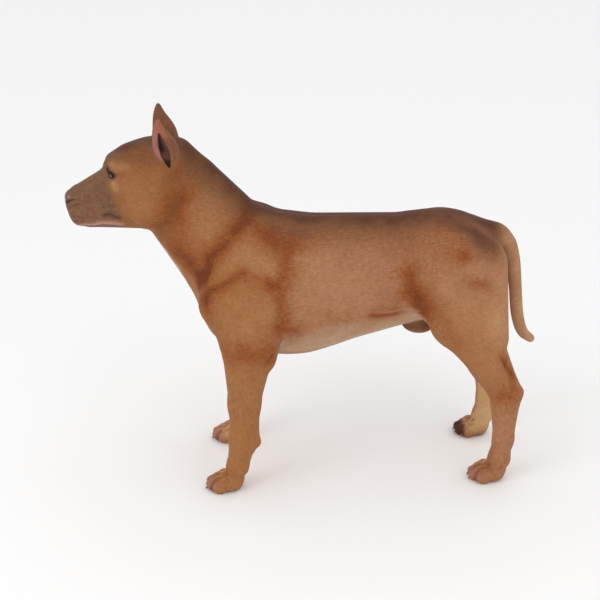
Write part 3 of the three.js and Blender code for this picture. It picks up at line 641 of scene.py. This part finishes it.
def painted_toes(q):
    """How far down the toes a point is, and how deep between two of them."""
    x, y, z = q.T
    tips, between = np.zeros(len(q)), np.zeros(len(q))
    for cx, cy in ((FORE_TRACK, FORE_PAW_Y), (HIND_TRACK, HIND_PAW_Y)):
        here = np.abs(y - cy) < 90
        tips[here] = (smooth_step(34, 22, z) * smooth_step(cy - 34, cy - 46, y))[here]
        # Clefts between the toes, darkened as painted shade over the statue's darker paint there.
        for gap in (-15.8, 0, 15.8):
            line = [(cx + gap * 0.7, cy - 18, 36), (cx + gap, cy - 40, 29), (cx + gap, cy - 50, 8)]
            between = np.maximum(between, Stroke(line, 3.4).strength(q))
    return tips, between


def paint_masks(mesh):
    """Where each colour lies, as numbers from 0 to 1 on the points."""
    p = points_of(mesh)
    q = unstance(p)
    x, y, z = q.T
    down = -normals_of(mesh)[:, 2]
    soft = wobbled(q)
    # The grooves darkened, as the statue's airbrushing and as painted shade, in a narrow core and a broad
    # halo.
    core = np.max([groove.paint * groove.strength(soft, 1.15) for groove in GROOVES], 0)
    halo = np.max([groove.paint * groove.strength(soft, 2.8) for groove in GROOVES], 0)
    wash = sum(stroke.paint * stroke.strength(soft) for stroke in WASHES)
    head = smooth_step(-205, -235, y) * smooth_step(470, 490, z)
    belly = smooth_step(0.25, 0.85, down) * smooth_step(240, 275, z) * smooth_step(400, 380, z)
    belly *= smooth_step(-100, -40, y) * smooth_step(300, 240, y) * smooth_step(98, 74, x)
    low_side = smooth_step(338, 296, soft[:, 2] - 0.06 * (y - 60))
    low_side *= smooth_step(-50, 30, y) * smooth_step(215, 150, y)
    muzzle_edge = -345 + 7 * smooth_step(590, 560, z) + 8 * smooth_step(560, 535, z)
    muzzle_edge += 8 * smooth_step(600, 636, z)
    tips, between = painted_toes(q)
    hollow = smooth_step(1.8, 0.3, EAR_HOLLOW.distance(q)) * (z > 622)
    ahead = -253 + (688 - z) * 0.34 - y
    pit = np.maximum(smooth_step(-2.5, 3, ahead) * smooth_step(652, 662, z), smooth_step(648, 638, z))
    front = smooth_step(4, 0.5, EAR_FRONT.distance(q)) * smooth_step(634, 650, z)
    rear = smooth_step(0.5, -0.8, EAR_BACK.distance(q)) * smooth_step(628, 640, z)
    facing = normals_of(mesh) * np.stack([np.sign(p[:, 0]), p[:, 0] * 0, p[:, 0] * 0], 1)
    tip = smooth_step(0.15, 0.5, facing[:, 0]) * smooth_step(674, 690, z) * smooth_step(712, 704, z)
    # Paler inside of the legs, the statue's own paint. Low down it reaches round the paws as painted light
    # against their shade.
    inner = smooth_step(0.1, 0.7, -facing[:, 0] + 0.3 * smooth_step(60, 40, z)) * smooth_step(300, 220, z)
    # Darker paint along the top, withers, croup and upper head, with painted shade on the upper edges.
    top = np.maximum.reduce([SHADED_TOP_LINE.strength(q), SHADED_SKULL_LINE.strength(q), SHADED_BROW_LINE.strength(q),
                             0.45 * head * smooth_step(612, 648, z), 0.85 * CROUP.strength(soft),
                             0.6 * WITHERS.strength(soft)])
    warm_front = smooth_step(-40, -80, y) * (0.6 + 0.4 * smooth_step(500, 400, z)) * smooth_step(8, 26, z)
    warm_thigh = 0.8 * smooth_step(430, 330, z) * smooth_step(120, 190, z) * smooth_step(235, 290, y)
    warm_thigh *= smooth_step(20, 45, x)
    cool = smooth_step(-20, 30, y) * smooth_step(240, 180, y)
    # Dark creases by the eyes, lips and nose: dark paint, deepened as painted shade.
    crease = np.maximum.reduce([0.7 * LIP_CORNER.strength(q), EYE_CORNER.strength(q),
                                1.2 * EYE_INNER.strength(q), 0.3 * ALAR.strength(q),
                                0.5 * LIP_FOLD.strength(q)])
    masks = {
        "tone": 0.5 - 0.20 * core - 0.32 * halo - wash,
        "upright": smooth_step(300, 255, z),
        "head": head,
        "top": top * smooth_step(398, 356, y),
        "rear": smooth_step(230, 340, y),
        "warm": np.maximum(warm_front, warm_thigh),
        "cool": cool * smooth_step(330, 380, z) * smooth_step(490, 440, z),
        "belly": np.maximum(0.9 * belly, 0.6 * low_side),
        "blaze": BLAZE.strength(q),
        "muzzle": head * smooth_step(13, -11, soft[:, 1] - muzzle_edge) * smooth_step(650, 616, z),
        "patch": np.maximum(CHEEK_PATCH.strength(q), 0.7 * BROW_PATCH.strength(q)),
        "cheek": CHEEK.strength(q),
        "lip": LIP.strength(q) * head,
        "mouth": MOUTH.strength(q) * head,
        "crease": crease * head,
        "under_eye": np.maximum(UNDER_EYE.strength(q), OUTER_EYE.strength(q)),
        "lower_lip": LOWER_LIP.strength(q) * head,
        # Painted shade in the skin folds behind the ears.
        "folds": np.max([fold.strength(q) for fold in EAR_FOLDS], 0),
        "lid": np.exp(-(almond(q) / 1.9) ** 2) * (np.linalg.norm(q - EYE_AT, axis=1) < 20),
        "nose": smooth_step(3.5, -3.0, NOSE_PAD.distance(q)) * (y < -396),
        # A painted highlight on the side of the nose pad.
        "shine": np.exp(-(np.linalg.norm(q - (17.5, -422, 561), axis=1) / 3) ** 2),
        "hole": np.max([smooth_step(1.0, 0.0, slit.distance(q)) for slit in NOSTRILS], 0),
        "ear": smooth_step(640, 672, z) * smooth_step(36, 50, x) * (y > -300),
        "hollow": hollow,
        "pit": hollow * pit,
        "rim": front * smooth_step(700, 684, z),
        "thin_rim": np.maximum.reduce([rear, tip, front * smooth_step(684, 700, z)]) * (x > 60),
        "inner": inner * smooth_step(6, 34, z),
        # Upward faces of the muzzle: its olive paint, darkened as painted shade against the light from above.
        "bridge": head * smooth_step(-345, -365, y) * smooth_step(0.35, 0.8, -down),
        "tips": tips,
        "dark_tips": tips * (p[:, 0] < 0) * (y > 110) * smooth_step(HIND_PAW_Y - 30, HIND_PAW_Y - 44, y),
        "between": between,
        "sheath": SHEATH.strength(q) * smooth_step(340, 300, z),
    }
    for name, value in masks.items():
        put_values(mesh, name, np.clip(value, 0, 1).astype(np.float32))


# ------------------------------------------------------------------ shader maths
class Wire:
    """A shader socket that can be used in Python sums."""

    def __init__(self, paint, socket):
        self.paint, self.socket = paint, socket

    def maths(self, operation, *values):
        return self.paint.node("ShaderNodeMath", {"operation": operation}, dict(enumerate(values)))

    def __add__(self, other):
        return self.maths("ADD", self, other)

    def __sub__(self, other):
        return self.maths("SUBTRACT", self, other)

    def __rsub__(self, other):
        return self.maths("SUBTRACT", other, self)

    def __mul__(self, other):
        return self.maths("MULTIPLY", self, other)

    __radd__ = __add__
    __rmul__ = __mul__

    def at_most(self, other):
        return self.maths("MINIMUM", self, other)


class Paint:
    """One material's node tree, with a call for each kind of node."""

    def __init__(self, name):
        self.material = bpy.data.materials.new(name)
        self.material.use_nodes = True
        self.tree = self.material.node_tree
        self.shader = next(n for n in self.tree.nodes if n.type == "BSDF_PRINCIPLED")

    def node(self, kind, settings=None, inputs=None, output=0):
        made = self.tree.nodes.new(kind)
        for key, value in (settings or {}).items():
            if key == "stops":
                self.set_stops(made.color_ramp, value)
            else:
                setattr(made, key, value)
        for key, value in (inputs or {}).items():
            if isinstance(value, Wire):
                self.tree.links.new(value.socket, made.inputs[key])
            else:
                made.inputs[key].default_value = value
        return Wire(self, made.outputs[output])

    def set_stops(self, ramp, stops):
        while len(ramp.elements) < len(stops):
            ramp.elements.new(0.5)
        for element, (at, colour) in zip(ramp.elements, stops):
            element.position = at
            element.color = (*colour, 1)

    def place(self, output="Object"):
        return self.node("ShaderNodeTexCoord", output=output)

    def noise(self, scale, detail=3.0, stretch=(1, 1, 1), roughness=0.55):
        """A cloudy pattern from 0 to 1; stretch below 1 draws it out along that axis."""
        place = self.node("ShaderNodeMapping", None, {"Vector": self.place(), "Scale": stretch})
        return self.node("ShaderNodeTexNoise", None,
                         {"Vector": place, "Scale": scale, "Detail": detail, "Roughness": roughness})

    def mask(self, name):
        return self.node("ShaderNodeAttribute", {"attribute_name": name}, output="Fac")

    def ramp(self, value, stops):
        return self.node("ShaderNodeValToRGB", {"stops": stops}, {0: value})

    def mix(self, amount, a, b, blend="MIX"):
        """Colour a with this amount of colour b."""
        a, b = (c if isinstance(c, Wire) else (*c, 1) for c in (a, b))
        return self.node("ShaderNodeMix", {"data_type": "RGBA", "blend_type": blend},
                         {0: amount, 6: a, 7: b}, output=2)

    def blend(self, amount, a, b):
        """Number a with this amount of number b."""
        return self.node("ShaderNodeMix", {"data_type": "FLOAT"}, {0: amount, 2: a, 3: b})

    def remap(self, value, low, high, to_low=0.0, to_high=1.0):
        return self.node("ShaderNodeMapRange", {"clamp": True},
                         {0: value, 1: low, 2: high, 3: to_low, 4: to_high})

    def distance(self, a, b):
        return self.node("ShaderNodeVectorMath", {"operation": "DISTANCE"}, {0: a, 1: b}, output="Value")

    def bump(self, height, depth, strength=1.0):
        return self.node("ShaderNodeBump", None, {"Strength": strength, "Distance": depth, "Height": height})

    def feed(self, name, value):
        if isinstance(value, Wire):
            self.tree.links.new(value.socket, self.shader.inputs[name])
        else:
            self.shader.inputs[name].default_value = value


def linear(r, g, b):
    """A colour given as 0-255 display values, in the scene's linear values."""
    return tuple(c / 12.92 if c <= 0.04045 else ((c + 0.055) / 1.055) ** 2.4
                 for c in (r / 255, g / 255, b / 255))


def whisker_dots(m):
    """1 on the small dark spots of the upper lip, on both sides."""
    mirror = m.node("ShaderNodeVectorMath", {"operation": "SUBTRACT"}, {0: m.place(), 1: tuple(SHIFT / 1000)})
    mirror = m.node("ShaderNodeVectorMath", {"operation": "ABSOLUTE"}, {0: mirror})
    nearest = 1.0
    for x, y, z in WHISKER_DOTS:
        spot = m.distance(mirror, (x / 1000, -y / 1000, z / 1000))
        nearest = spot.at_most(nearest)
    return m.remap(nearest, 0.0008, 0.0026, 1.0, 0.0)


def coat_paint(look):
    m = Paint("painted_coat")
    upright = m.mask("upright")
    grain = m.blend(upright, m.noise(1100, 4, (1.0, 0.2, 1.0), 0.65), m.noise(1100, 4, (1.0, 1.0, 0.2), 0.65))
    streak = m.blend(upright, m.noise(380, 3, (1, 0.25, 1)), m.noise(380, 3, (1, 1, 0.25)))
    cloud, blotch, speck = m.noise(9, 3), m.noise(34, 4), m.noise(150, 4)
    mottle = 0.26 * cloud + 0.26 * blotch + 0.22 * speck + 0.24 * streak + 0.16 * grain - 0.57

    tone = m.mask("tone") + mottle
    colour = m.ramp(tone, [(0.0, look.groove), (0.25, look.shade), (0.5, look.coat), (0.75, look.light),
                           (1.0, look.pale)])
    uneven = m.remap(blotch + cloud, 0.75, 1.25, 0.75, 1.1)
    even = m.remap(tone, 0.15, 0.5, 0.0, 0.3)
    plain = m.remap(tone, 0.1, 0.45, 0.15, 1.0)
    snout = m.ramp(speck * 0.6 + blotch * 0.4, [(0.35, look.muzzle_dark), (0.62, look.muzzle)])
    # Painted shade on the top of the muzzle, over its olive-brown.
    snout = m.mix(m.mask("bridge") * 0.6, snout, look.bridge)
    pad = m.ramp(speck, [(0.35, look.nose), (0.65, look.nose_light)])
    layers = [  # how much, and of which colour, each over the ones before
        ((m.mask("belly") * uneven).at_most(1.0), look.belly),
        (m.mask("rear") * even, look.rear),
        (m.mask("cool") * even, look.rear),
        (m.mask("warm") * plain * m.remap(cloud, 0.35, 0.65, 0.3, 0.65), look.warm),
        # Paler inner legs, and painted light on the paws against the shade near the floor.
        (m.mask("inner") * 0.85, look.inner),
        (m.mask("head") * m.remap(cloud, 0.3, 0.7, 0.35, 0.65), look.head),
        (m.mask("cheek") * 0.15, look.coat),
        # Painted shade in the folds behind the ears, in the shade colour.
        (m.mask("folds") * 0.4, look.shade),
        # The back colour along the top: darker paint and painted shade.
        ((m.mask("top") * (uneven + 0.08)).at_most(0.95), look.back),
        (m.mask("sheath") * 0.85, look.sheath),
        (m.mask("blaze") * m.remap(blotch, 0.3, 0.6, 0.25, 0.75), look.blaze),
        (m.mask("muzzle") * 0.92, snout),
        (m.mask("patch") * 0.65, look.patch),
        (whisker_dots(m) * 0.45, look.dark),
        (m.mask("lip") * m.remap(speck, 0.3, 0.6, 0.7, 1.0), look.lip),
        (m.mask("lower_lip") * 0.7, look.lower_lip),
        (m.mask("mouth") * 0.85, look.mouth),
        (m.mask("ear") * 0.75, look.ear),
        (m.mask("rim") * 0.8, look.rim),
        (m.mask("thin_rim") * 0.6, look.thin_rim),
        (m.mask("hollow"), look.lining),
        (m.mask("pit"), look.hollow),
        (m.mask("nose"), pad),
        # The painted highlight on the nose, in the pink of the lips.
        (m.mask("shine") * 0.7, look.lip),
        (m.mask("under_eye") * 0.75, look.under_eye),
        # Dark paint and painted shade in the creases of the face.
        (m.mask("crease") * 0.85, look.dark),
        (m.mask("lid") * 0.85, look.lid),
        (m.mask("hole") * 0.85, look.nostril),
        (m.mask("tips") * m.remap(blotch, 0.3, 0.6, 0.35, 0.8), look.toes),
        (m.mask("dark_tips") * 0.85, look.hollow),
        # Painted shade in the clefts between the toes, in the groove colour.
        (m.mask("between") * 0.7, look.groove),
    ]
    for amount, over in layers:
        colour = m.mix(amount, colour, over)

    fleck = m.remap(0.45 * streak + 0.3 * speck + 0.25 * grain, 0.36, 0.64, 0.88, 1.11)
    m.feed("Base Color", m.mix(1.0, colour, fleck, "MULTIPLY"))
    m.feed("Roughness", m.remap(grain, 0.3, 0.7, look.gloss - 0.05, look.gloss + 0.07) - m.mask("nose") * 0.2)
    m.feed("Specular IOR Level", 0.12)
    m.feed("Coat Weight", m.mask("nose") * 0.35 + m.mask("lip") * 0.15)
    m.feed("Coat Roughness", 0.3)
    m.feed("Normal", m.bump(grain * 0.5 + streak * 0.3 + speck * 0.2, look.grain_depth, 0.8))
    return m.material


def eye_paint(look):
    m = Paint("painted_eye")
    off_axis = m.mask("off_axis")
    dark, iris = linear(7, 5, 5), look.iris
    colour = m.ramp(off_axis, [(0.0, dark), (0.24, dark), (0.30, iris), (0.46, iris), (0.54, dark)])
    # A painted highlight: a soft grey-white spot on each eyeball, where a lamp's reflection would be.
    m.feed("Base Color", m.mix(m.mask("glint"), colour, linear(142, 152, 162)))
    m.feed("Roughness", 0.25)
    m.feed("Specular IOR Level", 0.1)
    m.feed("Coat Weight", 0.1)
    m.feed("Coat Roughness", 0.05)
    return m.material


def claw_paint(look):
    m = Paint("painted_claw")
    m.feed("Base Color", m.ramp(m.noise(260, 3), [(0.35, look.claw), (0.65, look.claw_dark)]))
    m.feed("Roughness", m.remap(m.noise(420, 2), 0.3, 0.7, 0.36, 0.5))
    m.feed("Normal", m.bump(m.noise(700, 2, (1, 1, 0.2)), 0.0003, 0.25))
    return m.material


# ------------------------------------------------------------------ settings
def colour(name, description, rgb):
    return FloatVectorProperty(name=name, description=description, subtype="COLOR", size=3, min=0, max=1,
                               default=linear(*rgb))


class SkinSettings(bpy.types.PropertyGroup):
    voxel: FloatProperty(name="Skin voxel",
                         description="Spacing of the mesh that closes the flesh into one skin",
                         default=0.003, min=0.001, max=0.01, unit="LENGTH")
    grain_depth: FloatProperty(name="Grain depth", description="Depth of the carved hair grain",
                               default=0.0005, min=0, max=0.003, unit="LENGTH")
    gloss: FloatProperty(name="Roughness", description="Mean roughness of the coat's paint",
                         default=0.58, min=0, max=1, subtype="FACTOR")
    coat: colour("Coat", "Tan of the flanks and legs", (158, 108, 72))
    light: colour("Light coat", "Paler tan where the form stands out", (178, 130, 94))
    pale: colour("Pale coat", "Palest tan", (194, 150, 114))
    shade: colour("Shaded coat", "Orange-brown round the grooves", (140, 76, 36))
    # Red-brown of the grooves: the statue's airbrushing, deepened as painted shade.
    groove: colour("Grooves", "Red-brown airbrushed into the muscle grooves", (108, 52, 24))
    # Cool brown of the top line and skull, partly the statue's paint and partly painted shade.
    back: colour("Back", "Cool brown along the top line and the skull", (84, 47, 32))
    belly: colour("Belly", "Pale grey cream under the belly", (190, 160, 132))
    blaze: colour("Blaze", "Pale mark on the front of the neck", (206, 178, 164))
    muzzle: colour("Muzzle", "Grey-brown of the muzzle", (122, 88, 64))
    muzzle_dark: colour("Dark muzzle", "Darker flecks of the muzzle", (104, 74, 58))
    patch: colour("Pale patches", "Tan patches over and under the eyes", (186, 138, 94))
    lip: colour("Lips", "Pink edge of the lips", (186, 136, 118))
    mouth: colour("Mouth", "Red line between the lips", (116, 46, 38))
    lower_lip: colour("Lower lip", "Red-brown lower lip", (120, 68, 56))
    ear: colour("Ear", "Brown of the ears' backs", (116, 74, 54))
    rim: colour("Ear rims", "Mauve-pink rolled edges of the ears", (156, 104, 98))
    thin_rim: colour("Thin ear rims", "Orange-pink thin edges of the ears", (170, 100, 78))
    inner: colour("Inner legs", "Pale tan on the inside of the legs", (204, 164, 116))
    head: colour("Head", "Olive tan of the head", (140, 90, 48))
    rear: colour("Hindquarters", "Greyer tan towards the tail", (166, 122, 92))
    warm: colour("Warm coat", "Olive tan of the neck, forelegs and thighs", (156, 102, 52))
    hollow: colour("Hollows", "Near black in the ears", (36, 20, 18))
    lining: colour("Ear lining", "Brownish mauve inside the ears", (92, 56, 50))
    nostril: colour("Nostrils", "Dark red-brown of the nostrils", (66, 34, 30))
    nose: colour("Nose", "Red-brown nose pad", (88, 48, 42))
    nose_light: colour("Light nose", "Pinker parts of the nose pad", (120, 76, 66))
    # Olive brown of the muzzle's top, darkened as painted shade where it faces up.
    bridge: colour("Bridge of the nose", "Olive brown along the top of the muzzle", (112, 80, 60))
    dark: colour("Creases", "Dark brown in the creases of the face", (58, 32, 26))
    lid: colour("Eyelid rims", "Dark red-brown rims of the eyelids", (64, 36, 34))
    under_eye: colour("Under the eyes", "Mauve under the eyes and at their outer corners", (118, 76, 76))
    toes: colour("Toes", "Pinkish toes", (166, 112, 104))
    sheath: colour("Sheath", "Dark red-brown of the sheath", (84, 40, 24))


class EyeSettings(bpy.types.PropertyGroup):
    radius: FloatProperty(name="Eyeball radius", description="Radius of each eyeball",
                          default=0.0104, min=0.005, max=0.02, unit="LENGTH")
    iris: colour("Iris", "Dark brown of the iris", (34, 20, 14))


class ClawSettings(bpy.types.PropertyGroup):
    thickness: FloatProperty(name="Claw thickness", description="Radius of a claw at its root",
                             default=0.0036, min=0.001, max=0.01, unit="LENGTH")
    claw: colour("Claw", "Tan painted claw", (150, 108, 88))
    claw_dark: colour("Dark claw", "Darker parts of a claw", (112, 74, 60))


class StageSettings(bpy.types.PropertyGroup):
    floor: colour("Floor", "Plain pale floor", (250, 250, 250))
    key: FloatProperty(name="Key light", description="Power of the main light", default=16, min=0, max=2000)
    fill: FloatProperty(name="Surround", description="Strength of the light from all round",
                        default=0.93, min=0, max=10)
    lens: FloatProperty(name="Lens", description="Focal length of the camera in millimetres",
                        default=72.6, min=10, max=300)


# ------------------------------------------------------------------ operators
class STATUE_OT_skin(bpy.types.Operator):
    """Closes the flesh into one skin, models its features and paints it"""
    bl_idname = "statue.skin"
    bl_label = "Skin"

    def execute(self, context):
        look = context.scene.statue_skin
        piece = flesh_mesh(look.voxel)
        mesh = piece.data
        settle(mesh, 2)
        even_out(mesh, 3)
        refine(mesh, lambda p: in_head(p) | in_paws(p))
        refine(mesh, in_detail)
        settle(mesh, 3)
        even_out(mesh, 1, 0.4)
        settle(mesh, 2)
        model_features(mesh)
        for place, keep in ((in_plain_head, 0.3), (in_detail, 0.72), (in_paws, 0.36),
                            (in_trunk_and_legs, 0.22)):
            thin_out(piece, place(points_of(mesh)), keep)
        mesh.polygons.foreach_set("use_smooth", np.ones(len(mesh.polygons), bool))
        mesh.update()
        paint_masks(mesh)
        mesh.materials.clear()
        mesh.materials.append(coat_paint(look))
        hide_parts(*FLESH)
        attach(piece, "root")
        return {"FINISHED"}


class STATUE_OT_eyes(bpy.types.Operator):
    """Sets a round, glossy eyeball behind each pair of lids"""
    bl_idname = "statue.eyes"
    bl_label = "Eyes"

    def execute(self, context):
        look = context.scene.statue_eyes
        paint = eye_paint(look)
        for node, side in (("left_eye", 1), ("right_eye", -1)):
            gaze = Vector((GAZE[0] * side, GAZE[1], GAZE[2]))
            bm = bmesh.new()
            bmesh.ops.create_uvsphere(bm, u_segments=64, v_segments=40, radius=look.radius)
            for v in bm.verts:  # the cornea stands a little proud
                off = v.co.normalized().z
                v.co.z += CORNEA_RISE * max(0.0, (off - CORNEA_EDGE) / (1 - CORNEA_EDGE))
            turn = gaze.to_track_quat("Z", "Y").to_matrix().to_4x4()
            middle = centre(node)
            bmesh.ops.transform(bm, matrix=turn, verts=bm.verts)
            bmesh.ops.translate(bm, vec=middle, verts=bm.verts)
            for f in bm.faces:
                f.smooth = True
            mesh = mesh_from(bm, node)
            outward = [(v.co - middle).normalized() for v in mesh.vertices]
            put_values(mesh, "off_axis", [way.angle(gaze) / OFF_AXIS_FULL for way in outward])
            # The painted highlight lies a little up and outward from the gaze.
            highlight_way = Vector(unit(GAZE + 0.26 * EYE_UP + 0.12 * EYE_LINE) * [side, 1, 1])
            put_values(mesh, "glint", [smooth_step(0.26, 0.06, way.angle(highlight_way)) for way in outward])
            piece = new_piece(node + "ball", mesh)
            mesh.materials.append(paint)
            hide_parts(node)
            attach(piece, "root")
        return {"FINISHED"}


def add_claw(bm, root, tip, radius, rings=7):
    """A short horn, drawn out ring by ring along an arc that droops towards a blunt tip."""
    along = (tip - root).normalized()
    turn = along.to_track_quat("Z", "Y").to_matrix().to_4x4()
    start = bmesh.ops.create_circle(bm, cap_ends=True, segments=12, radius=radius,
                                    matrix=Matrix.Translation(root) @ turn)
    ring, here = start["verts"], root
    edges = list({e for v in ring for e in v.link_edges})
    for i in range(1, rings + 1):
        t = i / rings
        bow = Vector((0, -0.7, 0.9)) * (CLAW_BOW * 4 * t * (1 - t))
        there = root.lerp(tip, t) + bow
        drawn = bmesh.ops.extrude_edge_only(bm, edges=edges)["geom"]
        ring = [g for g in drawn if isinstance(g, bmesh.types.BMVert)]
        edges = [g for g in drawn if isinstance(g, bmesh.types.BMEdge) and all(v in ring for v in g.verts)]
        taper = (1 - t ** 1.8 * 0.55) / (1 - ((i - 1) / rings) ** 1.8 * 0.55)
        bmesh.ops.translate(bm, vec=there - here, verts=ring)
        bmesh.ops.scale(bm, vec=(taper,) * 3, space=Matrix.Translation(-there), verts=ring)
        here = there
    bmesh.ops.contextual_create(bm, geom=edges)


class STATUE_OT_claws(bpy.types.Operator):
    """Shapes the sixteen short curved claws"""
    bl_idname = "statue.claws"
    bl_label = "Claws"

    def execute(self, context):
        look = context.scene.statue_claws
        bm = bmesh.new()
        for node in CLAWS:
            low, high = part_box(node)
            root = Vector(((low.x + high.x) / 2, high.y, high.z - CLAW_ROOT_DROP))
            tip = Vector((root.x, low.y + CLAW_TIP_BACK, low.z + CLAW_TIP_LIFT))
            add_claw(bm, root, tip, look.thickness)
        bmesh.ops.recalc_face_normals(bm, faces=bm.faces)
        for face in bm.faces:
            face.smooth = True
        mesh = mesh_from(bm, "claws")
        piece = new_piece("claws", mesh)
        mesh.materials.append(claw_paint(look))
        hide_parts(*CLAWS)
        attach(piece, "root")
        return {"FINISHED"}


def aimed(at, aim):
    """The turn that points a lamp or camera at a place."""
    return (aim - at).to_track_quat("-Z", "Y").to_euler()


class STATUE_OT_stage(bpy.types.Operator):
    """Lays a plain pale floor, sets soft lights and places the camera"""
    bl_idname = "statue.stage"
    bl_label = "Stage"

    def execute(self, context):
        look = context.scene.statue_stage
        bm = bmesh.new()
        bmesh.ops.create_grid(bm, x_segments=1, y_segments=1, size=30)
        mesh = mesh_from(bm, "floor")
        floor = new_piece("floor", mesh)
        m = Paint("floor_paint")
        m.feed("Base Color", (*look.floor, 1))
        m.feed("Roughness", 0.8)
        mesh.materials.append(m.material)
        floor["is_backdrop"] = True

        world = bpy.data.worlds.new("surround")
        world.use_nodes = True
        back = next(n for n in world.node_tree.nodes if n.type == "BACKGROUND")
        back.inputs[0].default_value = (1, 1, 1, 1)
        back.inputs[1].default_value = look.fill
        context.scene.world = world
        context.scene.view_settings.view_transform = "Standard"

        aim = Vector((0, 0, 0.36))
        lamps = (("key", (1.6, -1.9, 2.6), 1.6, 1.0), ("side", (2.6, 1.6, 1.9), 2.0, 0.5))
        for name, at, size, share in lamps:
            light = bpy.data.lights.new(name, "AREA")
            light.energy, light.size = look.key * share, size
            lamp = bpy.data.objects.new(name, light)
            lamp.location = at
            lamp.rotation_euler = aimed(Vector(at), aim)
            context.scene.collection.objects.link(lamp)

        lens = bpy.data.cameras.new("camera")
        lens.lens, lens.sensor_width, lens.clip_end = look.lens, 36, 100
        camera = bpy.data.objects.new("camera", lens)
        aim_height, away = 0.345, 2.16
        aim = Vector((SHIFT[0] / 1000, SHIFT[1] / 1000, aim_height))
        rise, swing = math.radians(21), math.radians(3)
        level = Vector((math.cos(swing), -math.sin(swing), 0))
        camera.location = aim + level * away + Vector((0, 0, away * math.tan(rise)))
        camera.rotation_euler = aimed(camera.location, aim)
        context.scene.collection.objects.link(camera)
        context.scene.camera = camera
        return {"FINISHED"}


class STATUE_PT_panel(bpy.types.Panel):
    """Lists the statue's pieces in the order they are made"""
    bl_label = "Dog Statue"
    bl_idname = "STATUE_PT_panel"
    bl_space_type = "VIEW_3D"
    bl_region_type = "UI"
    bl_category = "Dog Statue"

    def draw(self, context):
        for group, operator in (("statue_skin", "statue.skin"), ("statue_eyes", "statue.eyes"),
                                ("statue_claws", "statue.claws"), ("statue_stage", "statue.stage")):
            box = self.layout.box()
            box.operator(operator)
            settings = getattr(context.scene, group)
            for name in settings.__annotations__:
                box.prop(settings, name)


SETTINGS = {"statue_skin": SkinSettings, "statue_eyes": EyeSettings, "statue_claws": ClawSettings,
            "statue_stage": StageSettings}
CLASSES = (*SETTINGS.values(), STATUE_OT_skin, STATUE_OT_eyes, STATUE_OT_claws, STATUE_OT_stage,
           STATUE_PT_panel)


def register():
    for item in CLASSES:
        bpy.utils.register_class(item)
    for name, group in SETTINGS.items():
        setattr(bpy.types.Scene, name, PointerProperty(type=group))


def unregister():
    for name in SETTINGS:
        delattr(bpy.types.Scene, name)
    for item in reversed(CLASSES):
        bpy.utils.unregister_class(item)


def main():
    register()
    bpy.ops.statue.stage()
    bpy.ops.statue.skin()
    bpy.ops.statue.eyes()
    bpy.ops.statue.claws()
    corners = lambda box: [list(map(float, corner)) for corner in box]
    {"cad": corners(CAD_BOX), "visual": corners(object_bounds())}


if __name__ == "__main__":
    main()
